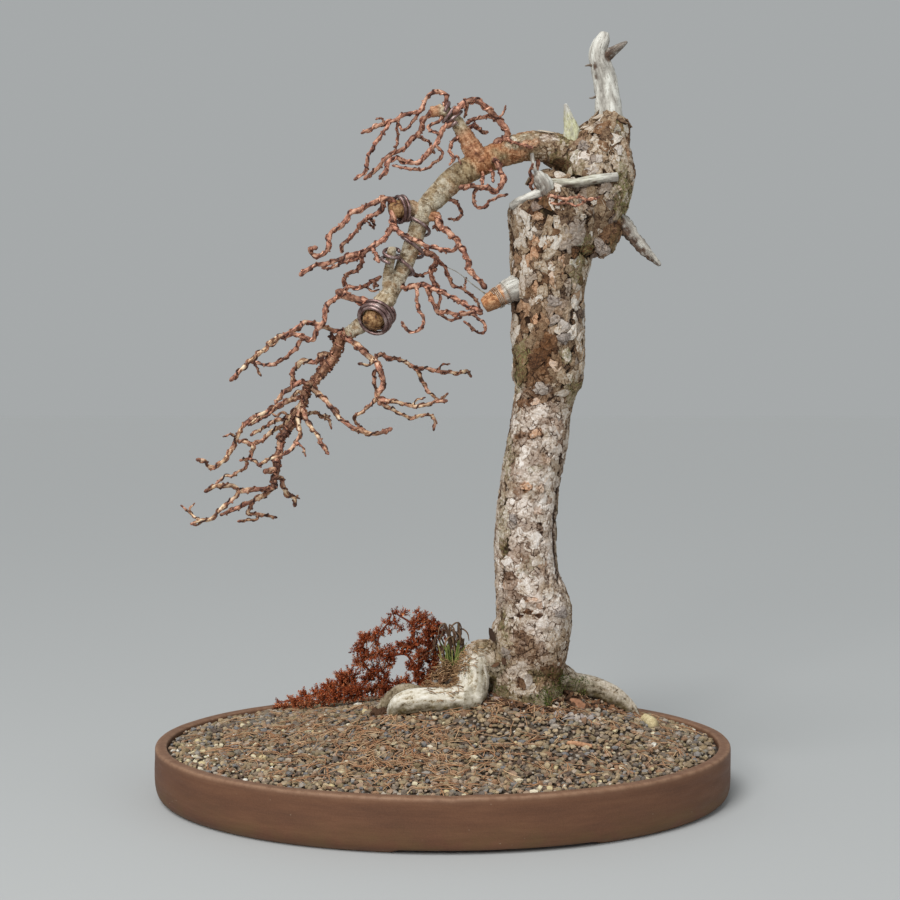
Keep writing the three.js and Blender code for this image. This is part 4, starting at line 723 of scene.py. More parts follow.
def groundHeight(x, y):
    m = mound
    swell = np.exp(-((x - m["x"]) / m["lengthX"]) ** 2 - ((y - m["y"]) / m["lengthY"]) ** 2)
    out = np.hypot(x / (potForm["halfLength"] - potForm["wall"]), y / (potForm["halfWidth"] - potForm["wall"]))
    heaped = sum(h * np.exp(-((x - hx) / a) ** 2 - ((y - hy) / b) ** 2) for hx, hy, a, b, h in heaps)
    return m["rim"] + m["rise"] * swell * (1 - np.minimum(out, 1) ** 6) + heaped


def insideRim(x, y, margin):
    inset = potForm["wall"] + margin
    return np.hypot(x / (potForm["halfLength"] - inset), y / (potForm["halfWidth"] - inset)) < 1


def makeSoil():
    look = Look("darkSoil")
    even = look.space()
    color = look.ramp(look.noise(even, 3.0, 5, 0.7), (0.3, 50, 41, 33), (0.6, 92, 77, 62))
    material = look.done(color, 0.95, look.bump(look.noise(even, 1.4, 4, 0.7), 1.2, 0.8))
    count, rows, floor, below = (mound[key] for key in ("segments", "rows", "floor", "below"))
    angle = spokes(count)
    inner = potForm["wall"] + 0.4
    rings = [ovalRing(inner + 5, floor, angle), ovalRing(inner, 19.5, angle)]
    for i in range(rows):
        ring = ovalRing(inner + (potForm["halfWidth"] - inner - 0.8) * (i / (rows - 1)), 0.0, angle)
        ring[:, 2] = groundHeight(ring[:, 0], ring[:, 1]) - below + cloud(ring, 9, 2) * 0.8
        rings.append(ring)
    shape = Shape()
    shape.add(ringBody(rings, [[0, 0, floor], [0, 0, groundHeight(0.0, 0.0) - below]], count, True))
    shape.piece("soil_bed", material, "gravel", ["soil"])


def toneLook(name, colors, rough, specular, grain, depth, contrast=0.25):
    # a colour for each bit from its own tone, with a fine grain over it
    look = Look(name, Specular_IOR_Level=specular)
    even = look.space()
    base = look.ramp("tone", *[(i / (len(colors) - 1), *color) for i, color in enumerate(colors)])
    mottle = look.ramp(look.noise(even, grain, 4, 0.65), (0.3, 137, 137, 137), (0.7, 231, 231, 231))
    base = look.mix(contrast, base, mottle, "OVERLAY")
    return look.done(base, rough, look.bump(look.noise(even, grain * 0.5, 4, 0.7), depth, 0.6))


def stoneBlank():
    blank = bmesh.new()
    bmesh.ops.create_icosphere(blank, subdivisions=1, radius=1.0)
    verts = np.array([v.co[:] for v in blank.verts])
    tris = np.array([[v.index for v in face.verts] for face in blank.faces])
    blank.free()
    return verts, tris


def turned(points, first, second, angle):
    # rolls every stone in the plane of two axes
    c, s = np.cos(angle)[:, None], np.sin(angle)[:, None]
    a, b = points[..., first] * c - points[..., second] * s, points[..., first] * s + points[..., second] * c
    points[..., first], points[..., second] = a, b


def makeGravel():
    f = gravelForm
    rng = np.random.default_rng(f["seed"])
    blank, faces = stoneBlank()
    pitch, (smallest, largest) = f["pitch"], f["sizes"]
    xs, ys = np.meshgrid(np.arange(-275, 276, pitch), np.arange(-195, 196, pitch * 0.87))
    xs[1::2] += pitch / 2
    x, y = ((axis + rng.uniform(-0.42, 0.42, axis.shape) * pitch).ravel() for axis in (xs, ys))
    size = smallest + (largest - smallest) * rng.random(len(x)) ** 1.6
    kept = insideRim(x, y, size + f["wallGap"])
    x, y, size = x[kept], y[kept], size[kept]
    number = len(x)
    pale = rng.random(number) < f["paleShare"] * (1 + 3.5 * ((x < -150) & (y < -20)))
    toneOf = rng.random(number)
    axes = np.stack([np.ones(number), rng.uniform(0.62, 0.95, number), rng.uniform(0.45, 0.8, number)], axis=1)
    rough = rng.uniform(0.7, 1.2, (number, len(blank), 1))
    turn, tip = rng.uniform(0, 6.28, number), rng.uniform(-0.5, 0.5, number)
    stones = blank[None] * rough * (axes * size[:, None])[:, None, :]
    turned(stones, 1, 2, tip)
    turned(stones, 0, 1, turn)
    z = groundHeight(x, y) + rng.uniform(-1.4, 1.3, number)
    stones += np.stack([x, y, z], axis=1)[:, None, :]
    pellets = toneLook("palePellets", f["pale"], 0.9, 0.2, 1.2, 0.3)
    grit = toneLook("mixedGrit", f["colors"], 0.88, 0.3, 1.3, 0.5, 0.4)
    for name, chosen, material in (("gravel_grit", ~pale, grit), ("gravel_pellets", pale, pellets)):
        part = stones[chosen]
        tris = (faces[None] + (np.arange(len(part)) * len(blank))[:, None, None]).reshape(-1, 3)
        shape = Shape("tone")
        shape.add({"verts": part.reshape(-1, 3), "tris": tris}, tone=np.repeat(toneOf[chosen], len(blank)))
        shape.piece(name, material, "gravel", flat=True)
    print("stones:", number)


def makeNeedles():
    f = needleForm
    rng = np.random.default_rng(f["seed"])
    shape = Shape("tone")
    made = 0
    while made < f["count"]:
        x, y = rng.uniform(-262, 262), rng.uniform(-182, 182)
        near = max(math.exp(-math.hypot((x - cx) / rx, (y - cy) / ry) ** 2) for cx, cy, rx, ry in f["drifts"])
        if rng.random() > 0.16 + 0.84 * near or not insideRim(x, y, 16):
            continue
        bunch = 1 if rng.random() < 0.7 else int(rng.integers(2, 5))
        heading = rng.uniform(0, 6.28)
        for _ in range(bunch):
            length = rng.uniform(*f["length"])
            way, bend = heading + rng.normal(0, 0.35), rng.normal(0, 0.5)
            rise, lift = rng.uniform(-0.5, 1.6), rng.uniform(1.2, 3.0)
            rows = []
            for s, girth in ((0, 1.0), (0.33, 1.1), (0.66, 0.9), (1, 0.4)):
                px = x + math.cos(way + bend * s) * length * (s - 0.5)
                py = y + math.sin(way + bend * s) * length * (s - 0.5)
                pz = groundHeight(px, py) + lift + rise * math.sin(math.pi * s) * 1.4
                rows.append((px, py, pz, f["radius"] * girth))
            rows = np.array(rows)
            if insideRim(rows[:, 0], rows[:, 1], 1.5).all():
                shape.add(tube(rows, 3), tone=rng.random())
                made += 1
    shape.piece("needles", toneLook("dryNeedles", f["colors"], 0.7, 0.3, 3.0, 0.1, 0.2), "dry_stem")


makeSoil()
makeGravel()
makeNeedles()
print("soil made")

# ---------- trunk ----------

barkForm = {
    "voxel": 1.75, "soften": 4, "smallPlate": (11.0, 11.0, 9.0), "largePlate": (18.0, 18.0, 26.0),
    "smallDepth": 1.7, "largeDepth": 3.2, "fineDepth": 0.5, "largeFrom": (372, 470),
}
flakeForm = {  # loose scales; for each zone: spacing, half width, height against width, thickness
    "seed": 31, "rim": 9, "bury": 1.3, "reachDown": 2.2, "boughEnd": 66,
    "bareWood": ("knot", "bar", "ledge", "stem", "jin", "stub", "snag"),
    "low": (5.0, (3.2, 7.4), (0.5, 1.5), (0.25, 0.8)),
    "high": (5.8, (3.4, 8.0), (0.8, 1.7), (0.9, 2.4)),
    "bough": (3.6, (1.6, 3.6), (0.4, 0.9), (0.25, 0.6)),
}
trunkLimbs = ["bole", "head", "shoulder", "bough", "rootLeft", "rootLeftDrop", "rootLeftRun", "rootLeftBack",
              "rootRight", "rootBack", "rootFront", "lump", "gall", "curlStub"]
rootNames = ["rootLeft", "rootLeftDrop", "rootLeftRun", "rootLeftBack", "rootRight", "rootBack", "rootFront"]
cutLine = ((67, 578), (92, 592))  # white saw cut across the left shoulder

# Deep cracks in the bark on the front elevation: points, width, depth.
cracks = [
    ([(75, 423), (71, 395), (69, 382), (64, 350)], 1.6, 2.4),
    ([(62, 248), (61, 225), (61, 209), (59, 168)], 1.3, 2), ([(66, 262), (64, 240), (66, 222)], 1.1, 1.6),
    ([(119, 343), (114, 303), (110, 259), (112, 223), (116, 205)], 1.3, 2.2),
    ([(97, 268), (101, 241), (104, 214), (107, 190)], 1.2, 1.6), ([(92, 527), (98, 516), (110, 502)], 1.5, 2.6),
    ([(116, 526), (124, 511), (128, 505)], 1.5, 2.6), ([(73, 508), (74, 496), (75, 480), (77, 462)], 2.4, 3.2),
    ([(113, 569), (125, 573), (134, 567), (145, 561)], 1.5, 2.8), ([(131, 560), (127, 545), (128, 530)], 1.4, 2.4),
    ([(129, 500), (127, 470), (131, 450), (126, 420), (119, 400)], 1.3, 2),
    ([(70, 560), (72, 545), (71, 528)], 1.3, 1.8), ([(84, 470), (86, 452), (83, 440)], 1.2, 1.6),
    ([(140, 640), (150, 632), (157, 622)], 1.5, 2.4), ([(165, 650), (172, 636), (181, 622), (184, 606)], 1.5, 2.6),
    ([(150, 655), (158, 642), (167, 628), (172, 612)], 1.3, 2.2), ([(136, 556), (143, 570), (147, 590)], 1.6, 2.6),
    ([(89, 160), (100, 154), (112, 156)], 1.4, 1.8), ([(66, 171), (85, 173), (104, 171)], 1.7, 0.9),
    ([(72, 186), (88, 190), (99, 187)], 1.3, 0.9), ([(96, 590), (103, 580), (107, 571)], 4, 4.5),
    ([(134, 541), (141, 533), (150, 528)], 3, 3), ([(112, 622), (124, 612), (137, 611)], 2.2, 2.6),
    ([(62, 306), (64, 296), (62, 282)], 1.2, 1.6), ([(78, 390), (92, 387), (110, 389)], 1.8, 1.6),
    ([(76, 352), (90, 349), (102, 351)], 1.6, 1.4),
]

# Patches on the front. After each field: x, z, half width, half height, strength. The shade patches are mostly
# painted shade, with some dark debris and moss.
patches = [
    ("orange", (92, 538, 7, 16, 1), (86, 530, 5, 10, 0.8), (93, 501, 4.5, 9, 0.9), (92, 469, 6, 6, 1),
     (110, 505, 4.5, 8, 0.6), (119, 521, 4, 11, 0.8), (93, 386, 7, 5, 0.6), (83, 301, 7, 6, 1),
     (95, 572, 9, 6, 0.6), (93, 645, 4, 6, 1), (105, 543, 5, 8, 0.5), (97, 300, 5, 5, 0.35),
     (104, 326, 4, 5, 0.35), (90, 187, 8, 4, 0.4)),
    ("brown", (102, 437, 13, 27, 1), (84, 414, 12, 10, 0.6), (96, 395, 20, 7, 0.7), (84, 172, 23, 5, 1),
     (90, 188, 12, 5, 0.9), (79, 264, 8, 4, 0.9), (67, 207, 7, 4, 0.7), (86, 140, 20, 15, 0.5),
     (106, 116, 9, 12, 0.8), (82, 470, 10, 16, 0.6), (100, 573, 14, 9, 0.9), (159, 543, 10, 16, 0.9),
     (112, 624, 14, 8, 0.9), (88, 505, 8, 22, 0.5), (108, 480, 14, 16, 0.35)),
    ("lichen", (80, 434, 9, 16, 0.9), (123, 430, 8, 8, 0.8), (179, 594, 9, 34, 1), (139, 540, 7, 20, 0.8),
     (133, 516, 7, 16, 0.7), (122, 650, 10, 9, 0.6), (130, 624, 14, 12, 0.5), (22, 84, 12, 9, 0.9),
     (-40, 84, 8, 10, 0.7), (95, 112, 14, 8, 0.5), (175, 660, 8, 10, 0.8), (112, 630, 9, 10, 0.5)),
    ("knot", (117, 176, 7, 7, 1), (70, 270, 4, 6, 1), (63, 134, 6, 6, 1), (110, 487, 7, 7, 0.9),
     (110, 468, 6, 6, 0.8), (120, 450, 7, 7, 1), (88, 510, 8, 7, 0.5), (98, 400, 9, 6, 0.7),
     (132, 558, 10, 15, 0.7), (123, 544, 7, 9, 0.6), (141, 641, 6, 6, 0.9), (162, 600, 7, 9, 0.6)),
    ("white", (83, 649, 9, 5, 1), (106, 650, 10, 4, 1), (103, 385, 9, 6, 0.7), (90, 230, 44, 105, 0.85),
     (92, 340, 44, 60, 0.8), (70, 112, 14, 10, 0.4), (62, 226, 7, 14, 0.6), (140, 628, 12, 8, 0.6),
     (118, 470, 8, 30, 0.4), (140, 600, 8, 14, 0.5)),
    ("brown", (103, 580, 10, 12, 1), (140, 536, 12, 8, 1)),
    ("orange", (86, 643, 9, 6, 1)),
    ("brown", (84, 351, 16, 6, 0.9), (78, 300, 10, 6, 0.8), (96, 330, 8, 9, 0.5), (76, 236, 8, 12, 0.6),
     (70, 196, 8, 8, 0.7)),
    ("lichen", (66, 330, 5, 30, 0.6), (60, 260, 5, 40, 0.5), (62, 160, 6, 22, 0.6), (92, 318, 8, 7, 0.5),
     (84, 218, 9, 8, 0.4)),
    ("knot", (124, 502, 5, 8, 0.5), (160, 541, 8, 9, 0.9)),
    ("brown", (172, 560, 7, 12, 1), (100, 213, 9, 5, 0.7), (94, 262, 8, 6, 0.6), (72, 318, 8, 5, 0.7),
     (104, 366, 9, 7, 0.6)),
    ("orange", (93, 355, 8, 6, 0.9)),
    ("brown", (68, 210, 8, 5, 0.8), (82, 385, 19, 5, 0.9), (60, 236, 3, 15, 0.7)),
    ("orange", (89, 189, 7, 4, 0.7)),
    ("brown", (82, 174, 21, 4, 1)),
    # painted shade under the left root and in the crevice between its toes
    ("shade", (-50, 72, 8, 12, 0.9), (-18, 77, 36, 5, 0.7), (26, 90, 6, 14, 0.6), (-36, 78, 10, 7, 0.7),
     (12, 80, 14, 6, 0.6), (37, 110, 5, 18, 0.5)),
    ("brown", (82, 425, 13, 22, 0.8), (94, 412, 16, 12, 0.8)),
    ("lichen", (74, 410, 7, 16, 0.9), (128, 400, 8, 14, 0.7)),
    ("brown", (90, 130, 24, 9, 0.35), (76, 154, 12, 5, 0.6)),
    # painted shade in the dark gap at the trunk's foot and under the right root
    ("shade", (96, 84, 34, 11, 0.95), (62, 92, 12, 16, 0.8), (120, 98, 16, 12, 0.7), (148, 100, 14, 7, 0.6),
     (176, 86, 12, 5, 0.5)),
    ("brown", (118, 110, 8, 12, 0.9)),
    # painted shade under the knot and under the bough; dark debris on the top of the left root
    ("shade", (104, 578, 8, 9, 1), (40, 140, 14, 7, 0.6), (57, 128, 10, 12, 0.6), (96, 622, 18, 5, 0.8)),
    ("white", (76, 646, 18, 8, 1)),
    # painted shade below the jin; dark moss on the right root
    ("shade", (168, 546, 8, 10, 0.7), (135, 104, 10, 9, 0.8)),
]
patches = [(kind, *spot) for kind, *spots in patches for spot in spots]
backPatches = [  # patches behind: field, size, how rare, shift
    ("orange", 26, 0.36, 11), ("brown", 34, 0.18, 14), ("lichen", 30, 0.22, 17), ("white", 60, 0, 20),
]


def barkLook():
    look = Look("larchBark", Specular_IOR_Level=0.22)
    even, times = look.space(), look.times
    fine, middle = look.noise(even, 1.3, 4, 0.65), look.noise(look.space((1, 1, 1.4)), 4.0, 4, 0.6)
    tall = look.vector("MULTIPLY", look.warp(even, 5.0, 3.0), (1, 1, 0.6))
    split = times(look.level(look.cells(tall, 5.6, "DISTANCE_TO_EDGE"), 0.015, 0.07, (0.36, 0.0)),
                  look.level(look.noise(even, 8.0, 2), 0.47, 0.57))
    split = times(split, look.level("high", 0.0, 1.0, (1.0, 0.8)))
    grain = look.math("ADD", times(look.math("SUBTRACT", fine, 0.5), 1.05),
                      times(look.math("SUBTRACT", middle, 0.5), 0.95))
    grain = times(grain, look.level("high", 0.0, 1.0, (0.7, 0.6)))
    plain = look.math("ADD", times("plate", 0.85), grain)
    # the colour follows the height: low places, open cracks and the edges between plates turn dark brown, partly the
    # bark's own colour and partly painted shade in the hollows
    height = look.math("SUBTRACT", plain, split)
    base = look.ramp(height, (0.08, 46, 33, 25), (0.24, 96, 72, 54), (0.42, 141, 118, 93), (0.58, 173, 155, 134),
                     (0.8, 208, 200, 190))
    pale = look.ramp(height, (0.04, 66, 47, 36), (0.16, 136, 112, 94), (0.3, 182, 165, 150),
                     (0.5, 214, 202, 192), (0.74, 238, 231, 225))
    bare = times(look.level(middle, 0.3, 0.5, (0.6, 1.0)),
                 look.level(look.noise(look.space((1, 1, 0.8)), 17.0, 3), 0.4, 0.54, (0.2, 1.0)))
    base = look.mix(times("white", bare), base, pale)
    worn = look.broken("orange", look.noise(even, 5, 4), 0.3, 0.5, (0.3, 1.0))
    dull = look.broken("brown", look.noise(even, 4, 4), 0.3, 0.5, (0.5, 1.0))
    moss = look.broken("lichen", look.noise(even, 3, 4, 0.7), 0.42, 0.58)
    grey = look.broken("knot", look.noise(even, 3.4, 3), 0.3, 0.5, (0.5, 0.9))
    for spread, value, stops in (
            (worn, height, ((0.08, 80, 54, 38), (0.34, 152, 110, 80), (0.66, 204, 164, 132))),
            (dull, height, ((0.1, 54, 34, 21), (0.4, 110, 74, 46), (0.75, 158, 122, 90))),
            (moss, fine, ((0.3, 78, 72, 42), (0.65, 144, 138, 92))),
            (grey, height, ((0.08, 58, 48, 44), (0.34, 108, 97, 91), (0.7, 170, 160, 154)))):
        base = look.mix(spread, base, look.ramp(value, *stops))

    # the bough: wrinkled across, olive, warmer in places and bleached on top
    wrinkled = look.math("ADD", times(look.noise(look.space((0.22, 0.22, 1), "local"), 1.7, 4), 0.75),
                         times("plate", 0.3))
    olive = look.ramp(wrinkled, (0.32, 70, 52, 36), (0.46, 126, 104, 74), (0.58, 166, 146, 114),
                      (0.75, 198, 186, 160))
    warm = look.ramp(wrinkled, (0.32, 74, 44, 28), (0.48, 148, 98, 64), (0.62, 190, 146, 110))
    pale = look.ramp(wrinkled, (0.34, 112, 92, 70), (0.5, 190, 180, 158), (0.7, 228, 223, 208))
    warmth = times(look.level(look.noise(even, 26, 2), 0.48, 0.62), look.level("white", 0.0, 1.0, (1.0, 0.3)))
    bleached = look.broken("white", look.noise(even, 8, 4, 0.6), 0.42, 0.56, (0.1, 0.85))
    olive = look.mix(bleached, look.mix(warmth, olive, warm), pale)
    base = look.mix(times("bough", look.level(worn, 0.0, 0.6, (1.0, 0.0))), base, olive)

    # the roots: smooth and pale, darker in their creases, partly with painted shade
    skin = look.math("ADD", times(plain, 0.55), times(look.noise(look.space((1, 1, 0.3), "local"), 3.2, 4, 0.6), 0.5))
    split = times(split, look.level("root", 0.2, 0.8, (1.0, 0.15)))
    skin = look.math("SUBTRACT", skin, times(split, 0.5))
    base = look.mix("root", base, look.ramp(skin, (0.24, 78, 60, 44), (0.33, 150, 134, 106),
                                                   (0.43, 202, 194, 176), (0.68, 229, 224, 213)))
    # painted shade, olive brown, wherever the shade field lies: under the roots, in their hollows, at the trunk's
    # foot and under the knot and the bough; a few shade patches mark dark debris and moss instead
    under = look.broken("shade", look.noise(even, 6, 4), 0.3, 0.6, (0.5, 1.0))
    base = look.mix(under, base, look.ramp(skin, (0.25, 48, 38, 26), (0.6, 116, 102, 68)))
    flaky = look.bump(look.noise(even, 2.4, 4, 0.65), 1.0, 0.6)
    cut = look.bump(times(split, -1.0), 1.2, 0.8, flaky)
    return look.done(base, look.level(fine, 0.3, 0.7, (0.8, 0.95)),
                     look.bump(look.noise(look.space((1, 1, 0.3), "local"), 0.8, 3), 0.25, 0.35, cut))


def nearestLimb(points, names):
    # for every point: which limb carries it, the length along that limb, and its place across it
    bestGap = np.full(len(points), 1e9)
    owner = np.zeros(len(points), int)
    local = np.zeros((len(points), 3))
    for k, name in enumerate(names):
        path = smooth(seen(limbs[name]), 3.0)
        _, side, up = across(path)
        length = lengthAlong(path)
        for first in range(0, len(points), 20000):
            part = slice(first, first + 20000)
            away = points[part, None, :] - path[None, :, :3]
            gap = np.linalg.norm(away, axis=2) - path[None, :, 3]
            spot = gap.argmin(axis=1)
            rows = np.arange(len(spot))
            closer = gap[rows, spot] < bestGap[part]
            out = away[rows, spot]
            here = np.stack([(out * side[spot]).sum(axis=1), (out * up[spot]).sum(axis=1), length[spot]], axis=1)
            bestGap[part][closer] = gap[rows, spot][closer]
            owner[part][closer] = k
            local[part][closer] = here[closer]
    return owner, local


def lineGap(x, z, points):
    # distance on the front elevation from a line of points
    best = np.full(len(x), 1e9)
    for (x0, z0), (x1, z1) in zip(points, points[1:]):
        share = np.clip(((x - x0) * (x1 - x0) + (z - z0) * (z1 - z0)) / ((x1 - x0) ** 2 + (z1 - z0) ** 2), 0, 1)
        best = np.minimum(best, np.hypot(x - x0 - share * (x1 - x0), z - z0 - share * (z1 - z0)))
    return best


def flakeBit(place, normal, wide, tall, thick, turn, rim, rng, tree):
    # one loose scale that follows the bark below it, with its edge bent off a little at one side
    bury, reachDown = flakeForm["bury"], flakeForm["reachDown"]
    up = np.array([0.0, 0.0, 1.0]) - normal * normal[2]
    up = up / max(np.linalg.norm(up), 1e-6)
    side = np.cross(up, normal)
    up, side = up * math.cos(turn) + side * math.sin(turn), side * math.cos(turn) - up * math.sin(turn)
    angle = spokes(rim) + rng.uniform(0, 6.28)
    reach = 1 + 0.22 * np.sin(2 * angle + rng.uniform(0, 6.28)) + 0.18 * np.sin(3 * angle + rng.uniform(0, 6.28))
    reach = reach + np.array([rng.uniform(-0.22, 0.22) for _ in range(rim)])
    out = (np.cos(angle) * wide * reach)[:, None] * side + (np.sin(angle) * tall * reach)[:, None] * up
    flat = np.vstack([place, place + out * 0.55, place + out])
    under = np.array([np.dot(np.array(tree.find(row)[0]) - row, normal) for row in flat.tolist()])
    under = np.clip(under, -reachDown, reachDown)
    lift = thick * np.concatenate([[1.05], np.full(rim, 1.05), 0.8 + 0.45 * np.sin(angle + rng.uniform(0, 6.28))])
    top = flat + normal * (under + lift)[:, None]
    foot = place + out * 0.86 + normal * (under[-rim:] - bury)[:, None]
    last = 1 + 3 * rim  # the point below the middle
    tris = np.vstack([fan(0, 1, rim), fan(last, last - rim, rim)[:, [0, 2, 1]]])
    return {"verts": np.vstack([top, foot, place - normal * bury * 1.2]), "tris": tris, "quads": bands(3, rim, 1)}


def makeFlakes():
    f = flakeForm
    rng = random.Random(f["seed"])
    points, normals, fields, highness = (trunk[key] for key in ("points", "normals", "fields", "high"))
    tree = kdtree.KDTree(len(points))
    for i, row in enumerate(points.tolist()):
        tree.insert(row, i)
    tree.balance()
    order = list(range(len(points)))
    rng.shuffle(order)
    taken = (trunk["isRoot"] & (points[:, 2] < 112)) | (trunk["skin"] > 0.4) | trunk["sawn"]
    taken |= trunk["isBough"] & (trunk["x"] < f["boughEnd"])
    for line, width, _ in cracks:
        taken |= (lineGap(trunk["x"], trunk["z"], line) < width + 1.2) & (normals[:, 1] < 0)

    def take(place, reach):
        for _, j, _ in tree.find_range(place, reach):
            taken[j] = True

    for name in f["bareWood"]:
        for x, y, z, radius in smooth(seen(deadwood[name]), 1.0).tolist():
            take((x, y, z), radius + 4.5)
    shape = Shape("plate", *fields)

    def add(i, wide, tall, thick, turn, rim, tone=None, **changed):
        bit = flakeBit(points[i], normals[i], wide, tall, thick, turn, rim, rng, tree)
        high = highness[i]
        tone = 0.38 - 0.06 * high + (0.44 + 0.2 * high) * rng.random() if tone is None else tone
        tone *= 1 - 0.4 * changed.get("brown", float(fields["brown"][i]))
        # each scale's top takes its tone, a little darker at the rim; its sides fade to a dark value at the buried
        # foot, painted shade under the scale's edge
        plate = np.repeat([tone, tone - 0.05, 0.3 - 0.3 * high], [1 + rim, rim, rim + 1])
        values = {name: float(kept[i]) for name, kept in fields.items()}
        shape.add(bit, plate=plate, **{**values, **changed})

    for kind, x, z, wide, tall, strength in patches:  # single scales that stand out
        if kind in ("knot", "orange") and z > 150:
            away = np.hypot(trunk["x"] - x, trunk["z"] - z) + 50 * (normals[:, 1] > -0.1)
            i = int(away.argmin())
            size = 0.92 if kind == "knot" else 0.7
            changed = {"orange": 0.0, "brown": 0.0, "lichen": 0.0, "knot": 0.0, kind: strength}
            add(i, wide * size, tall * size, 2.4, rng.uniform(-0.3, 0.3), 15, 0.62, **changed)
            take(points[i].tolist(), min(wide, tall) * 0.95 + 2.5)
    for i in order:
        if taken[i]:
            continue
        if trunk["isBough"][i]:
            zone = "bough"
        else:
            zone = "high" if rng.random() < highness[i] else "low"
        gap, size, ratio, thick = f[zone]
        wide = rng.uniform(*size) * (0.8 if rng.random() < 0.3 else 1.0)
        turn = rng.gauss(0, 0.35 if highness[i] > 0.5 else 0.9)
        draw, changed = rng.random(), {}
        if draw < 0.08 + 0.08 * highness[i]:
            kind = rng.choice(("knot", "orange", "brown"))
            changed = {kind: rng.uniform(0.3, 0.6) if kind == "orange" else rng.uniform(0.4, 0.8)}
        add(i, wide, wide * rng.uniform(*ratio), rng.uniform(*thick), turn, f["rim"], **changed)
        take(points[i].tolist(), gap * rng.uniform(0.8, 1.3))
    shape.piece("bark_flakes", barkMaterial, "bark", flat=True)
    print("bark scales:", len(shape.verts))


def roughTrunk():
    # the limbs grown into one skin of even points
    blank = Shape()
    for name in trunkLimbs:
        blank.add(tube(smooth(seen(limbs[name]), 2.5), 40))
    made = blank.piece("trunk_bark", barkMaterial, "bark", ["trunk"])
    remesh = made.modifiers.new("remesh", "REMESH")
    remesh.mode, remesh.voxel_size = "VOXEL", barkForm["voxel"] * 0.001
    soften = made.modifiers.new("soften", "SMOOTH")
    soften.factor, soften.iterations = 0.5, barkForm["soften"]
    settled(made)
    return made.data


def barkRelief(points, local, fine, high):
    # stepped layers and open cracks, small on the lower trunk and large towards the top
    f = barkForm
    jag = np.stack([cloud(points, 4.5, 3, k) * 2.4 + cloud(points, 17, 1, k + 2) * 4.5 for k in (1.0, 5.0, 9.0)],
                   axis=1)
    small = [*plates(points + jag, f["smallPlate"], 3.3), cloud(points + jag * 0.6, (9, 9, 6.5), 4, 2.5)]
    large = [*plates(points + jag, f["largePlate"], 7.7), cloud(points + jag * 0.6, (15, 15, 22), 4, 6.5)]
    gap, number, lean, flow = (a * (1 - high) + b * high for a, b in zip(small, large))
    gape = ease(cloud(points, 15, 2, 30.0), -0.2, 0.25) * (0.55 + 0.45 * high)
    crack = (1 - ease(gap, 0.0, 0.10)) * (0.25 + 0.75 * gape)
    steps = flow * 4.2 + 3 + 0.8 * number
    layer = (np.floor(steps) + ease(steps % 1, 0.0, 0.28)) / 6
    # the plate value sets both the height and the colour: lower layers and open cracks come out darker, partly
    # painted shade
    plate = 0.22 + 0.62 * layer + 0.22 * (number - 0.5) + 0.16 * lean - 0.62 * crack + 0.14 * fine
    push = (plate - 0.5) * (f["smallDepth"] * (1 - high) + f["largeDepth"] * high) + fine * f["fineDepth"]

    # the bough has fine wrinkles across it, the roots a smooth skin with long creases
    rings = np.sin(local[:, 2] * 1.7 + 2.6 * cloud(points, 6, 2, 2.0)) * 0.5
    creases = cloud(local * [1, 1, 0.22], 3.4, 3, 6.0)
    return {"bole": (push, plate),
            "bough": (0.38 * rings + 0.45 * fine + 0.35 * (ease(small[0], 0.02, 0.2) - 0.7),
                      0.52 + 0.16 * rings + 0.22 * fine + 0.2 * (small[1] - 0.5)),
            "root": (0.5 * creases + 0.35 * fine - 0.9 * ease(creases, -0.25, -0.6),
                     0.6 + 0.5 * creases + 0.2 * fine)}


def rootCover(names, isRoot, x, z, y):
    # how far the bark has given way to the smooth skin of a root
    skin = isRoot * ease(-z, -128, -114)
    skin = np.where(np.isin(names, ["rootBack", "rootFront", "rootLeft"]), 0.35 * skin, skin)
    arch = np.isin(names, ["rootLeft", "rootLeftDrop"]) & (y < 26)
    skin = np.where(arch, np.maximum(skin, ease(-x, -54, -36) * ease(-z, -141, -128)), skin)
    return skin * np.where(names == "rootRight", 0.5, 1.0) * np.where(names == "rootLeftBack", 0.3, 1.0)


def sawShoulder(points, isBole):
    # lays the points above the cut line down on it
    (x0, z0), (x1, z1) = cutLine
    slope = (z1 - z0) / (x1 - x0)
    x, z = onFront(points)
    above = (z - z0 - slope * (x - x0)) / math.hypot(1, slope)
    shoulder = (x < x1 + 3) & (above > -0.4) & isBole & (z < 620)
    way = np.array([-slope, 0, 1]) / math.hypot(1, slope)
    return points - way * np.where(shoulder, np.maximum(above, 0), 0)[:, None], shoulder & (above > 0.2)


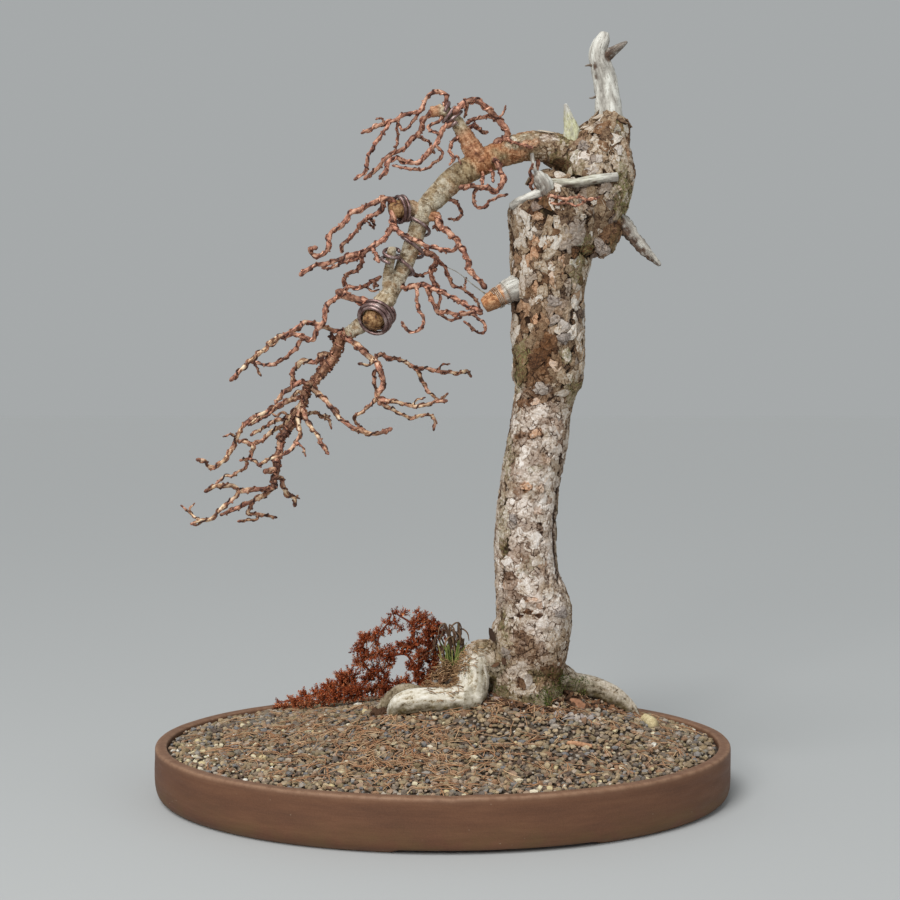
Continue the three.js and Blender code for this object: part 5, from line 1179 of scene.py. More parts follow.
def makeTrunk():
    mesh = roughTrunk()
    count = len(mesh.vertices)
    points = np.empty(count * 3)
    mesh.vertices.foreach_get("co", points)
    points = points.reshape(-1, 3) * 1000
    normals = np.array([v.vector[:] for v in mesh.vertex_normals])
    owner, local = nearestLimb(points, trunkLimbs)
    names = np.array(trunkLimbs)[owner]
    x, z = onFront(points)
    front = ease(-normals[:, 1], -0.15, 0.25)
    isRoot, isBough = np.isin(names, rootNames), np.isin(names, ["bough", "curlStub"])
    isBole = ~isRoot & ~isBough
    high = ease(z, *barkForm["largeFrom"]) * isBole
    fine = cloud(points, (2.6, 2.6, 3.0), 4)
    relief = barkRelief(points, local, fine, high)
    push, plate = (np.where(isRoot, root, np.where(isBough, bough, bole))
                   for root, bough, bole in zip(relief["root"], relief["bough"], relief["bole"]))

    fields = {name: np.zeros(count) for name in ("orange", "brown", "lichen", "knot", "white", "shade")}
    for name, px, pz, wide, tall, strength in patches:
        reach = np.hypot((x - px) / wide, (z - pz) / tall) * (1 + 0.25 * fine)
        fields[name] = np.maximum(fields[name], strength * (1 - ease(reach, 0.6, 1.15)) * front)
        if name == "knot":  # a low round boss
            push = push + front * strength * 0.8 * (1 - ease(reach, 0.5, 0.95))
    for name, size, low, shift in backPatches:
        spread = ease(cloud(points, (size, size, size * 1.4), 2, shift), low, low + 0.25)
        fields[name] = np.maximum(fields[name], 0.8 * spread * (1 - front) * ~isRoot)
    # deep cracks: pushed in, and darkened in colour, partly painted shade in the crack
    for line, width, deep in cracks:
        near = np.exp(-(lineGap(x + 1.2 * fine, z, line) / width) ** 2) * front * ~isBough
        push = push - deep * near
        plate = plate - 0.8 * near
    moved, sawn = sawShoulder(points + normals * push[:, None], isBole)
    fields["bough"] = np.where(isBough, ease(-x, -104, -78), 0.0)
    fields["white"] = np.where(isBough, np.maximum(ease(-x, -24, 4), fields["white"]), fields["white"])
    fields["root"] = rootCover(names, isRoot, x, z, points[:, 1])
    fields["high"] = high
    # painted shade on the faces that look downwards, kept to the roots; the back toe of the left root is darkened all
    # over
    under = np.maximum(ease(-normals[:, 2], -0.35, 0.45), 0.7 * (names == "rootLeftBack"))
    fields["shade"] = np.maximum(fields["shade"], under * isRoot)
    mesh.vertices.foreach_set("co", (moved * 0.001).ravel())
    mesh.update()
    addField(mesh, "local", local)
    addField(mesh, "plate", plate * 0.8 - 0.14 * high)  # darker between the large scales
    for name, values in fields.items():
        addField(mesh, name, values)
    mesh.shade_smooth()
    print("trunk points:", count)
    return {"points": moved, "normals": normals, "x": x, "z": z, "high": high, "isRoot": isRoot,
            "isBough": isBough, "skin": fields["root"], "sawn": sawn, "fields": fields}


barkMaterial = barkLook()
trunk = makeTrunk()
makeFlakes()

# ---------- dead wood ----------

deadForm = {"sides": 26, "step": 1.0}
deadPieces = {
    "deadwood_apex": ["apex", "apexSpur", "nubHigh", "nubLow"], "deadwood_snag": ["snag"],
    "deadwood_knot": ["knot", "bar", "stem", "ledge"], "deadwood_jin": ["jin", "jinSpur"], "deadwood_stub": ["stub"],
}
deadSkin = {  # how rough, how brown, how brown below, how tan at the end, how green at the foot, end cap
    "apex": (0.4, 0, 0.1, 0, 0, 0.2), "apexSpur": (1, 1, 0.4, 0, 0, 0.5), "snag": (0.7, 0, 0.1, 0, 0.9, 0.4),
    "knot": (1.4, 0, 0.9, 0, 0, 0.6), "bar": (0.6, 0.1, 0.6, 0, 0.3, 0.1), "stem": (0.3, 0.5, 0.3, 0, 0, 0.6),
    "ledge": (0.6, 0, 0.4, 0, 0, 0.6), "jin": (1.9, 0.5, 1, 0, 0, 0.6), "jinSpur": (1, 0.6, 0.6, 0, 0, 0.6),
    "nubLow": (1, 1, 0.4, 0, 0, 0.5), "nubHigh": (1, 1, 0.4, 0, 0, 0.5), "stub": (0.6, 0, 0.5, 1, 0, 0.15),
}
deadShift = {"knot": -4.0, "bar": -1.5, "ledge": -1.5}  # set forward of the loose bark
deadSpots = [  # dark brown places on the front elevation: x, z, half width, half height
    (166, 732, 6, 7), (125, 602, 9, 1.8), (103, 588, 7, 5), (150, 606, 6, 1.2), (152, 722, 2, 5), (153, 711, 2, 3),
    (178, 566, 5.5, 8), (183, 556, 6.5, 7), (190, 547, 6, 6), (199, 537, 5, 5), (208, 527, 4, 4),
]


def deadwoodLook():
    look = Look("bleachedWood", Specular_IOR_Level=0.25)
    even = look.space()
    soft = look.noise(look.space((1, 1, 0.3), "local"), 6.0, 3, 0.55)
    lines = look.noise(look.space((1, 1, 0.05), "local"), 0.9, 3, 0.6)
    base = look.ramp(soft, (0.32, 146, 141, 133), (0.46, 188, 184, 175), (0.58, 216, 214, 205), (0.72, 232, 231, 224))
    base = look.mix(look.level(lines, 0.36, 0.43, (0.75, 0.0)), base, shade(112, 104, 94))
    green = look.broken("green", look.noise(even, 5, 3), 0.35, 0.55, (0.4, 1.0))
    base = look.mix(green, base, look.ramp(lines, (0.35, 164, 160, 116), (0.6, 208, 208, 172)))
    tan = look.ramp(look.noise(even, 3.0, 4, 0.65), (0.32, 112, 66, 40), (0.48, 184, 126, 84), (0.62, 226, 178, 134))
    base = look.mix("tan", base, tan)
    dark = look.broken("dark", look.noise(even, 4, 4), 0.3, 0.5, (0.45, 1.0))
    base = look.mix(dark, base, look.ramp(lines, (0.35, 58, 44, 38), (0.65, 112, 90, 74)))
    return look.done(base, 0.85, look.bump(look.noise(even, 1.6, 3, 0.6), 0.35, 0.35, look.bump(lines, 0.5, 0.7)))


def deadGrain(seed, rough):
    def relief(angle, length, radius):
        twist = angle + length * 0.03
        ridges = 0.10 * np.sin(3 * twist + seed) + 0.06 * np.sin(7 * twist + 2 * seed + 0.08 * length)
        points = np.stack([np.cos(twist) * 4 + seed, np.sin(twist) * 4, np.broadcast_to(length * 0.07, radius.shape)],
                          axis=-1)
        worn = cloud(points.reshape(-1, 3), 1.4, 3).reshape(radius.shape)
        return rough * (ridges + 0.18 * worn - 0.1 * ease(np.abs(worn), 0.08, 0.0))
    return relief


def makeDeadwood():
    material, sides = deadwoodLook(), deadForm["sides"]
    for index, (node, names) in enumerate(deadPieces.items()):
        shape = Shape("dark", "tan", "green")
        for k, name in enumerate(names):
            rough, brown, below, tan, green, cap = deadSkin[name]
            path = smooth(seen(deadwood[name]), deadForm["step"])
            path[:, 1] += deadShift.get(name, 0.0)
            bit = tube(path, sides, deadGrain(index * 2.3 + k, rough), cap)
            points, length = bit["verts"], lengthAlong(path)
            share = np.append(np.repeat(length / length[-1], sides), [0, 1])
            centre = np.vstack([np.repeat(path, sides, axis=0), path[[0, -1]]])
            under = ease((centre[:, 2] - points[:, 2]) / centre[:, 3], -0.3, 0.5)
            dark = np.maximum(brown * (1 - 0.3 * share), below * under)
            x, z = onFront(points)
            for px, pz, wide, tall in deadSpots:
                dark = np.maximum(dark, 1 - ease(np.hypot((x - px) / wide, (z - pz) / tall), 0.6, 1.1))
            share = share + 0.1 * cloud(points, 5, 2)
            shape.add(bit, dark=dark, tan=tan * ease(share, 0.5, 0.68), green=green * (1 - ease(share, 0.6, 0.95)))
        shape.piece(node + "_grain", material, "deadwood", [node])


makeDeadwood()
print("dead wood made")

# ---------- branches, twigs and the copper wire round them ----------

twigForm = {
    "step": 1.4, "sides": 7, "stemSides": 22, "core": 0.8, "wire": 0.4, "thinnest": 0.56, "thickest": 1.0,
    "pitch": (6.6, 2.8), "spurEvery": (14.0, 30.0), "seed": 17,
}
burrs = [  # clusters of short knobs: limb, x, z, reach, count, how dark
    ("bough", -6, 562, 5, 12, 0.9), ("bough", -9, 520, 5, 12, 0.9), ("bough", -50, 560, 5, 10, 0.8),
    ("bough", -67, 531, 4, 10, 0.9), ("bough", -68, 503, 4, 9, 0.8), ("bough", -88, 462, 5, 10, 0.8),
    ("lowStem", -109, 450, 6, 12, 0.9), ("lowStem", -121, 427, 6, 14, 0.9), ("lowStem", -129, 408, 5, 10, 0.6),
    ("lowStem", -140, 393, 6, 14, 0.8), ("lowStem", -148, 372, 6, 12, 0.6), ("lowStem", -160, 353, 7, 20, 1),
    ("lowStem", -165, 330, 5, 12, 0.9), ("lowStem", -167, 308, 6, 16, 0.7), ("bough", 30, 628, 9, 14, 0.7),
]
stemFinish = {"crownStem": (0.8, 0), "ballStub": (0.5, 1), "coilStub": (0.8, 1)}  # how peeled, how sawn
branches = {  # node: its spray and the stem under it
    "branch_crown": ("crown", "crownStem"), "branch_crest": ("crest", None), "branch_inner": ("inner", None),
    "branch_ball": ("ball", "ballStub"), "branch_coil": ("coil", "coilStub"), "branch_side": ("side", "sideStub"),
    "branch_knee": ("knee", None), "branch_front": ("front", None), "branch_low": ("low", "lowStem"),
    "branch_low_left": ("lowLeft", None), "branch_low_right": ("lowRight", None),
}
routes = {**limbs, **deadwood}


def nearestOn(route, point):
    # the row of a route that lies nearest to a point on the front elevation
    best = (1e9, None)
    for (x0, z0, r0, y0), (x1, z1, r1, y1) in zip(route, route[1:]):
        length = (x1 - x0) ** 2 + (z1 - z0) ** 2
        share = min(1, max(0, ((point[0] - x0) * (x1 - x0) + (point[1] - z0) * (z1 - z0)) / length))
        spot = [a + share * (b - a) for a, b in zip((x0, z0, r0, y0), (x1, z1, r1, y1))]
        away = math.hypot(spot[0] - point[0], spot[1] - point[1])
        if away < best[0]:
            best = (away, spot)
    return best[1]


def twigRoute(name, parent, tipDepth, radius, *flat):
    # the same knobbly route as the solid twig has
    points = list(zip(flat[::2], flat[1::2]))
    foot = nearestOn(routes[parent], points[0])
    wave = ord(name[0]) + ord(name[1])
    route = []
    for i, (x, z) in enumerate(points):
        share = (i + 1) / len(points)
        knob = 1 + 0.16 * math.sin(2.4 * i + wave)
        depth = foot[3] + (tipDepth - foot[3]) * share + 2 * share * math.sin(1.7 * i + wave)
        route.append([x, z, twigGirth * radius * (1.04 - 0.26 * share) * knob, depth])
    if math.hypot(foot[0] - points[0][0], foot[1] - points[0][1]) < 1.5:
        route.pop(0)
    route.insert(0, [foot[0], foot[1], min(radius * 1.6, foot[2]), foot[3]])
    routes[name] = route
    return route


def twigLook():
    look = Look("youngBark", Specular_IOR_Level=0.35)
    even = look.space()
    streak = look.noise(look.space((1, 1, 0.3), "local"), 2.4, 3, 0.6)
    value = look.math("ADD", look.times(streak, 0.45), look.times(look.noise(even, 6.0, 3), 0.55))
    base = look.ramp(value, (0.39, 66, 38, 32), (0.46, 124, 77, 61), (0.53, 184, 127, 104), (0.62, 216, 168, 142))
    for spread, *stops in (
            (look.broken("straw", look.noise(even, 17, 2), 0.42, 0.56),
             (0.4, 84, 54, 38), (0.46, 156, 114, 84), (0.52, 210, 176, 140), (0.58, 236, 214, 182)),
            ("dark", (0.38, 46, 27, 23), (0.5, 88, 54, 42), (0.62, 136, 90, 66)),
            ("age", (0.32, 88, 52, 34), (0.46, 148, 98, 66), (0.58, 194, 148, 112), (0.72, 214, 190, 166)),
            ("pale", (0.38, 112, 92, 64), (0.5, 172, 160, 130), (0.62, 210, 203, 184)),
            ("cut", (0.38, 70, 45, 28), (0.48, 130, 92, 56), (0.6, 180, 146, 104))):
        base = look.mix(spread, base, look.ramp(value, *stops))
    lump = look.bump(look.noise(even, 2.0, 3, 0.6), 0.7, 0.45)
    return look.done(base, look.level(value, 0.4, 0.6, (0.72, 0.55)), look.bump(streak, 0.4, 0.4, lump))


def copperLook():
    look = Look("copperWire", Metallic=0.45, Specular_IOR_Level=0.5)
    even = look.space()
    tarnish = look.noise(even, 7.0, 3, 0.6)
    base = look.ramp(tarnish, (0.4, 66, 38, 34), (0.47, 122, 74, 60), (0.54, 184, 124, 98), (0.61, 222, 172, 146))
    dull = look.ramp(tarnish, (0.42, 56, 34, 28), (0.5, 98, 62, 46), (0.6, 156, 108, 80))
    return look.done(look.mix("dull", base, dull), look.level(tarnish, 0.3, 0.7, (0.55, 0.4)),
                     look.bump(look.noise(even, 0.9, 3), 0.12, 0.3))


def knobBit(place, way, length, radius):
    spine = [place - way * 0.6, place + way * length * 0.5, place + way * length]
    return tube(np.column_stack([spine, [radius * 0.9, radius * 1.1, radius * 0.6]]), 6)


def stemRelief(angle, length, radius):
    rows = np.broadcast_arrays(np.cos(angle) * 3, np.sin(angle) * 3, length * 0.3)
    rough = cloud(np.stack(rows, axis=-1).reshape(-1, 3), 1.4, 4).reshape(radius.shape)
    return 0.16 * rough + 0.04 * np.sin(length * 2.3 + 3 * rough)


def gaussian(rng, *pairs):
    # a vector with a mean and a spread for each axis
    return np.array([rng.gauss(*pair) for pair in pairs])


def addBurrs(shape, stem, rng):
    # clusters of short knobs standing out of a limb
    for limb, x, z, reach, count, dark in burrs:
        if limb != stem:
            continue
        foot = nearestOn(routes[limb], (x, z))
        middle = seen([[x, z, foot[2], foot[3]]])[0, :3]
        for _ in range(count):
            way = unit(gaussian(rng, (0, 1), (-0.3, 1), (0, 1)))
            place = middle + way * reach * rng.uniform(0.1, 0.6)
            shape.add(knobBit(place, way, reach * rng.uniform(0.4, 0.8), rng.uniform(1.0, 1.9)),
                      dark=min(1, dark * rng.uniform(0.6, 1.2)), straw=0.3)


def addStem(shape, copper, name, straw):
    # the thick foot of a branch; the long low one is gnarled and has wire of its own
    sides, gnarled = twigForm["stemSides"], name == "lowStem"
    stem = smooth(seen(limbs[name]), 0.9)
    pale, cut = stemFinish.get(name, (0.0, 0.0))
    share = np.append(np.repeat(lengthAlong(stem) / lengthAlong(stem)[-1], sides), [0.0, 1.0])
    if name == "crownStem":  # peeled above its middle
        pale = pale * ease(share, 0.4, 0.55) * (1 - ease(share, 0.86, 0.94))
    if gnarled:
        stem[:, 3] *= 0.86
    bit = tube(stem, sides, lambda *at: (2.6 if gnarled else 1.0) * stemRelief(*at), 0.3)
    thick = np.append(np.repeat(ease(stem[:, 3], 3.4, 5.0), sides), [1.0, 0.3])
    share = share + 0.12 * cloud(bit["verts"], 5, 2)
    shape.add(bit, age=thick * (0.4 if gnarled else 1.0), pale=pale, straw=straw,
              dark=0.95 * ease(cloud(bit["verts"], 13, 2, 4.0), -0.6, -0.1) * gnarled,
              cut=cut * ease(share, 0.48, 0.62))
    if gnarled:
        copper.add(tube(winding(stem, 11.0, 1.0, 0.7, 1.3, 1.1), 6), dull=0.6)


def makeBranches():
    rng = random.Random(twigForm["seed"])
    barks, wires = twigLook(), copperLook()

    def grow(name, twigs, straw, stem=None, node=None):
        shape, copper = Shape("age", "pale", "straw", "dark", "cut"), Shape("dull")
        if stem:
            addStem(shape, copper, stem, straw)
            addBurrs(shape, stem, rng)
        for twig in twigs:
            addTwig(shape, copper, twig, rng, straw)
        if not node:
            addBurrs(shape, "bough", rng)
        shape.piece(name + "_twigs" if node else name, barks, "twig_bark", [node] if node else ())
        copper.piece(name + "_copper", wires, "training_wire")

    for node, (spray, stem) in branches.items():
        grow(spray, sprays[spray], 1.0 if spray.startswith("low") else 0.2, stem, node)
    grow("bough_spurs", spurs, 0.2)


def addTwig(shape, copper, twig, rng, straw):
    f = twigForm
    path = smooth(seen(twigRoute(*twig)), f["step"])
    length, (along, side, up) = lengthAlong(path), across(path)
    wave = np.sin(length * 0.66 + rng.uniform(0, 6)) + 0.6 * np.sin(length * 1.31 + rng.uniform(0, 6))
    core = path.copy()
    core[:, 3] *= f["core"] * (1 + 0.07 * wave)
    dark = np.clip(0.55 * np.sin(length * 0.21 + rng.uniform(0, 6)) + rng.uniform(-0.4, 0.25), 0, 0.8)
    shape.add(tube(core, f["sides"], None, 0.9), straw=straw, dark=np.append(np.repeat(dark, f["sides"]), [0, 0.7]))
    wire = min(f["thickest"], max(f["thinnest"], f["wire"] * path[len(path) // 2, 3]))
    pitch = (f["pitch"][0] + f["pitch"][1] * path[len(path) // 3, 3]) * rng.uniform(0.85, 1.2)
    copper.add(tube(winding(core, pitch, wire, rng.uniform(0, 6.28), 0.5, 0.45), 5, None, 0.3), dull=0.8 * straw)
    at = rng.uniform(*f["spurEvery"])
    while at < length[-1]:
        k = int(np.searchsorted(length, at))
        for _ in range(rng.choice((1, 1, 2))):
            turn = rng.uniform(0, 6.28)
            way = unit(side[k] * math.cos(turn) + up[k] * math.sin(turn) + along[k] * rng.uniform(0.1, 0.7))
            foot = path[k, :3] + way * core[k, 3] * 0.5
            shape.add(knobBit(foot, way, rng.uniform(1.5, 2.8), rng.uniform(0.9, 1.4)), straw=straw * 0.5,
                      dark=rng.uniform(0.2, 0.9))
        at += rng.uniform(*f["spurEvery"])
    girth = core[-1, 3]  # a bud at the tip
    shape.add(knobBit(path[-1, :3], along[-1], 2.0 + girth, girth * 1.12), dark=rng.uniform(0.3, 0.9))


makeBranches()
print("branches made")

# ---------- heavy training wire ----------

heavyForm = {"radius": 1.75, "sides": 12, "steps": 22, "gap": 0.45, "seat": 1.06, "slack": 0.7}
coils = {  # limb, from, to, turns, start, lift
    "wire_crown": ("crownStem", 0.56, 0.8, 3.0, 0.4, 0.0),
    "wire_ball": ("ballStub", 0.42, 0.86, 2.6, 1.2, 0.0),
    "wire_cut_stub": ("coilStub", 0.4, 0.96, 4.2, 0.4, 1.5),
    "wire_curl": ("curlStub", 0.62, 0.95, 1.8, 0.4, 0.0),
    "wire_bough": ("bough", 0.53, 0.71, 3.2, 2.2, 0.0),
}


def heavyLook():
    look = Look("brownAluminium", Metallic=0.75, Specular_IOR_Level=0.5)
    even = look.space()
    cloudy = look.noise(even, 7.0, 4)
    base = look.ramp(cloudy, (0.32, 88, 64, 62), (0.5, 132, 106, 102), (0.68, 176, 158, 154))
    return look.done(base, look.level(cloudy, 0.3, 0.7, (0.36, 0.48)),
                     look.bump(look.noise(even, 1.2, 4), 0.12, 0.25))


def makeHeavyWires():
    f = heavyForm
    material = heavyLook()
    for node, (limb, first, last, turns, start, lift) in coils.items():
        key = seen(limbs[limb])
        path = smooth(key, 0.5)
        length = lengthAlong(path)
        marks = [length[np.linalg.norm(path[:, :3] - row[:3], axis=1).argmin()] for row in key]
        share = np.linspace(first, last, int(turns * f["steps"]) + 1)
        spine, sides, ups = sampled(path, np.interp(share * (len(key) - 1), np.arange(len(key)), marks))
        turn = start + 2 * math.pi * turns * (share - first) / (last - first)
        slack = f["slack"] * (1 + np.sin(turn * 0.43 + start)) + 0.6 * f["slack"] * np.sin(turn + 1.1)
        reach = spine[:, 3] * f["seat"] + f["radius"] + f["gap"] + lift + slack
        shape = Shape()
        shape.add(tube(wireLine(spine, sides, ups, turn, reach, f["radius"]), f["sides"], None, 0.15))
        shape.piece(node + "_round", material, "training_wire", [node])


makeHeavyWires()
print("heavy wires made")

# ---------- heather, grass and dry stems ----------

heatherForm = {
    "seed": 8, "perArea": 0.7, "shoot": (3.0, 6.5), "leafStep": 0.9, "leaf": (1.5, 3.0), "leafWidth": 0.78,
    "depth": 1.15,
    "colors": [(76, 36, 24), (136, 62, 34), (188, 96, 52), (168, 112, 82), (226, 146, 94)],
}
heatherStems = [  # woody stems from the crown, as (x, z, depth)
    [(-22, 98, 72), (-50, 100, 84), (-75, 99, 98), (-98, 99, 110), (-120, 95, 124), (-141, 91, 134),
     (-160, 86, 142)],
    [(-22, 98, 72), (-48, 104, 84), (-68, 113, 92), (-80, 126, 90), (-82, 140, 86), (-74, 150, 82)],
    [(-22, 98, 72), (-36, 133, 70), (-50, 133, 74), (-64, 134, 80), (-64, 152, 78), (-54, 166, 76)],
    [(-22, 98, 72), (-25, 115, 68), (-24, 133, 66), (-29, 148, 64), (-30, 162, 66), (-46, 174, 68)],
    [(-22, 98, 72), (-12, 113, 76), (-9, 128, 78), (-9, 143, 74), (-12, 158, 72), (-20, 169, 70)],
]
heatherClumps = [  # x, z, radius and depth of the leafy clumps
    (-165, 83, 4, 142), (-152, 87, 5, 138), (-139, 91, 6, 133), (-126, 95, 7, 126), (-113, 97, 10, 118),
    (-101, 107, 11, 110), (-92, 112, 9, 104), (-89, 96, 10, 100), (-76, 109, 9, 96), (-63, 99, 9, 90),
    (-81, 125, 8, 90), (-83, 138, 8, 86), (-77, 149, 8, 84), (-68, 149, 6, 82), (-63, 156, 5, 80),
    (-55, 166, 4, 78), (-50, 175, 4, 74), (-39, 175, 4, 70), (-43, 160, 3, 76), (-52, 156, 3, 78),
    (-73, 131, 8, 84), (-63, 135, 6, 80), (-52, 135, 7, 76), (-42, 141, 6, 72), (-55, 125, 7, 84),
    (-65, 117, 8, 88), (-58, 109, 7, 86), (-29, 162, 9, 68), (-18, 168, 8, 70), (-25, 177, 3, 68),
    (-8, 159, 9, 72), (-16, 151, 10, 68), (-29, 146, 9, 66), (-10, 141, 9, 72), (-23, 133, 10, 66),
    (-34, 138, 6, 70), (-10, 125, 9, 74), (-25, 120, 8, 68), (-34, 122, 4, 72), (-13, 113, 8, 74),
    (-23, 109, 8, 70), (0, 154, 6, 72), (-2, 135, 6, 74), (-36, 105, 7, 80), (-46, 103, 6, 84), (-18, 102, 8, 72),
    (-160, 81, 5, 128), (-147, 84, 6, 122), (-134, 86, 7, 116), (-121, 88, 8, 108), (-108, 91, 9, 100),
    (-96, 93, 9, 92), (-84, 95, 8, 86), (-72, 96, 8, 82), (-58, 98, 7, 80), (-98, 101, 9, 112),
    (-114, 100, 7, 120), (-46, 166, 4, 74),
]


def leafBit(place, way, length, radius):
    # a small pointed scale leaf with four faces
    way = unit(way)
    side = unit(np.cross(way, [0.3, 0.2, 0.93]))
    up = np.cross(way, side)
    belly = place + way * length * 0.45
    verts = np.array([place, belly + radius * side, belly - radius * (0.9 * side - 0.5 * up), place + way * length])
    return {"verts": verts, "tris": np.array([[0, 2, 1], [0, 1, 3], [0, 3, 2], [1, 2, 3]])}


def makeHeather():
    f = heatherForm
    rng = random.Random(f["seed"])
    shape = Shape("tone")
    stems = [smooth(seen([[x, z, 1.5 - 0.12 * i, y] for i, (x, z, y) in enumerate(line)]), 2.0)
             for line in heatherStems]
    for stem in stems:
        shape.add(tube(stem, 6), tone=0.12)
    wood = np.vstack(stems)
    for clump in heatherClumps:
        centre, reach = seen([clump])[0, :3], clump[2]
        near = wood[np.linalg.norm(wood[:, :3] - centre, axis=1).argmin(), :3]
        sag = (near + centre) / 2 + gaussian(rng, (0, 1.5), (0, 1.5), (1, 1))
        shape.add(tube(smooth([[*near, 0.7], [*sag, 0.6], [*centre, 0.4]], 2.0), 4), tone=0.15)
        tint = rng.uniform(0.3, 0.62)
        for _ in range(int(f["perArea"] * reach ** 2) + 4):
            way = unit(gaussian(rng, (0, 1), (0, 1), (0, 1)))
            foot = centre + way * reach * rng.uniform(0.1, 0.8) * np.array([1, f["depth"], 1])
            lean = unit(way + gaussian(rng, (0, 0.5), (0, 0.5), (0.35, 0.5)))
            size = min(rng.uniform(*f["shoot"]), reach * 0.9)
            bend = gaussian(rng, (0, 0.8), (0, 0.8), (0.4, 0.8))
            rows = np.column_stack([[foot, foot + lean * size * 0.5 + bend * 0.4, foot + lean * size + bend],
                                    [0.35, 0.3, 0.2]])
            rows[:, 2] = np.maximum(rows[:, 2], groundHeight(rows[:, 0], rows[:, 1]) + 1.5)
            twig = smooth(rows, f["leafStep"])
            shape.add(tube(twig[::2], 3), tone=0.1)
            along, side, up = across(twig)
            bright = min(1, max(0, tint + rng.gauss(0, 0.16)))
            for k in range(len(twig)):
                for turn in (k * 1.1, k * 1.1 + 3.14):
                    out = side[k] * math.cos(turn) + up[k] * math.sin(turn) + along[k] * rng.uniform(0.3, 1.1)
                    leaf = leafBit(twig[k, :3], out, rng.uniform(*f["leaf"]), f["leafWidth"] * rng.uniform(0.8, 1.3))
                    shape.add(leaf, tone=min(1, max(0, bright + rng.gauss(0, 0.14))))
    look = toneLook("rustHeather", f["colors"], 0.85, 0.2, 1.6, 0.2, 0.3)
    shape.piece("heather_sprigs", look, "heather", ["heather"], flat=True)


grassForm = {"blades": 34, "seed": 3, "colors": [(66, 82, 34), (96, 114, 48), (132, 142, 72), (178, 168, 110)]}
dryForm = {"stems": 34, "seed": 6, "colors": [(62, 44, 36), (104, 80, 62), (150, 124, 96)]}


def makeGrass():
    rng = random.Random(grassForm["seed"])
    shape = Shape("tone")
    for _ in range(grassForm["blades"]):
        x, y = 9 + rng.gauss(0, 3.5), 50 + rng.gauss(0, 3.0)
        leanX, tipZ, leanY = rng.gauss(1, 9), rng.uniform(122, 148), rng.gauss(0, 6)
        rows = [[x, 85, 0.7, y], [x + leanX * 0.35, 85 + (tipZ - 85) * 0.65, 1.0, y + leanY * 0.3],
                [x + leanX, tipZ, 0.3, y + leanY]]
        shape.add(tube(smooth(seen(rows), 4.0), 4), tone=rng.random())
    look = toneLook("dullGrass", grassForm["colors"], 0.6, 0.4, 5, 0.1, 0.2)
    shape.piece("grass_blades", look, "grass", ["grass_tuft"])
    rng = random.Random(dryForm["seed"])
    shape = Shape("tone")
    for _ in range(dryForm["stems"]):
        x, y = 12 + rng.gauss(0, 4), 61 + rng.gauss(0, 3.5)
        top, lean = rng.uniform(138, 166), rng.gauss(-4, 5)
        curl = rng.uniform(2, 9) * rng.choice((-1, -1, 1))
        tip = x + lean
        rows = [[x, 85, 0.8, y], [x + lean * 0.2, 116, 0.85, y + 2], [x + lean * 0.7, top - 10, 0.9, y + 5],
                [tip + curl * 0.3, top, 0.9, y + 4], [tip + curl, top - 4, 0.8, y],
                [tip + curl * 1.2, top - 12, 0.4, y - 3]]
        shape.add(tube(smooth(seen(rows), 2.5), 5), tone=rng.random())
    look = toneLook("dryCurls", dryForm["colors"], 0.8, 0.25, 3, 0.2, 0.3)
    shape.piece("dry_curls", look, "dry_stem", ["dry_stems"])


makeHeather()
makeGrass()
print("companion plants made")

# ---------- moss, litter and small pieces ----------

mossForm = {
    "seed": 12, "colors": [(44, 58, 22), (82, 106, 38), (134, 150, 66)],
    "spots": [(107, 92, 12, 900), (112, 112, 9, 300), (122, 106, 8, 200), (56, 98, 9, 260), (22, 118, 9, 90),
              (88, 88, 8, 160), (138, 103, 9, 170)],
}


def onBark(rng, spots, facing, widen=1.0):
    # random points of the bark near places on the front elevation: x, z, reach, count
    points, normals = trunk["points"], trunk["normals"]
    x, z = onFront(points)
    for px, pz, reach, count in spots:
        near = np.flatnonzero((np.hypot(x - px, z - pz) < reach * widen) & facing)
        for _ in range(count if len(near) else 0):
            k = int(near[rng.randrange(len(near))])
            yield points[k], normals[k]


def makeMoss():
    rng = random.Random(mossForm["seed"])
    shape = Shape("tone")
    for place, normal in onBark(rng, mossForm["spots"], trunk["normals"][:, 1] < 0.2):
        way = normal + gaussian(rng, (0, 0.5), (0, 0.5), (0.5, 0.4))
        shape.add(leafBit(place - way * 0.3, way, rng.uniform(1.6, 3.4), rng.uniform(0.25, 0.5)), tone=rng.random())
    shape.piece("moss", toneLook("greenMoss", mossForm["colors"], 0.8, 0.3, 1.2, 0.1, 0.2), "grass", flat=True)


lying = {  # from, to, radius, sides, flatness, slot, colours
    "litter_stick": ((118, -70), (141, -72), 2.2, 14, 1.0, "dry_stem",
                     [(120, 84, 60), (176, 132, 100), (196, 156, 122)]),
    "litter_root": ((205, 22), (212, 4), 5.5, 20, 1.0, "deadwood",
                    [(120, 100, 70), (188, 172, 132), (214, 200, 164)]),
    "litter_flake": ((128, 14), (142, 10), 5.0, 12, 0.35, "dry_stem",
                     [(104, 72, 52), (148, 106, 80), (176, 134, 106)]),
}


def makeLitter():
    for node, (start, end, radius, sides, flat, slot, colors) in lying.items():
        ends = [np.array([x, y, groundHeight(x, y) + radius * 0.55 * flat]) for x, y in (start, end)]
        waist = (ends[0] + ends[1]) / 2 + np.array([0, 0, 0.6])
        girths = [radius * 0.94, radius * 1.08, radius * 0.94]
        path = smooth(np.column_stack([[ends[0], waist, ends[1]], girths]), 0.6)

        def relief(angle, length, girth):
            ringed = 0.07 * np.sin(length * 2.6) if node == "litter_root" else 0.0
            thin = -0.6 * np.abs(np.cos(angle)) if flat < 1 else 0.0
            return thin + ringed + 0.05 * np.sin(3 * angle + length * 0.4) + 0.03 * np.sin(7 * angle)

        shape = Shape("tone")
        bit = tube(path, sides, relief, 0.3)
        shape.add(bit, tone=np.clip(0.5 + 0.4 * cloud(bit["verts"], 3.0, 3), 0, 1))
        shape.piece(node + "_piece", toneLook(node + "Skin", colors, 0.85, 0.25, 1.6, 0.3, 0.4), slot, [node])


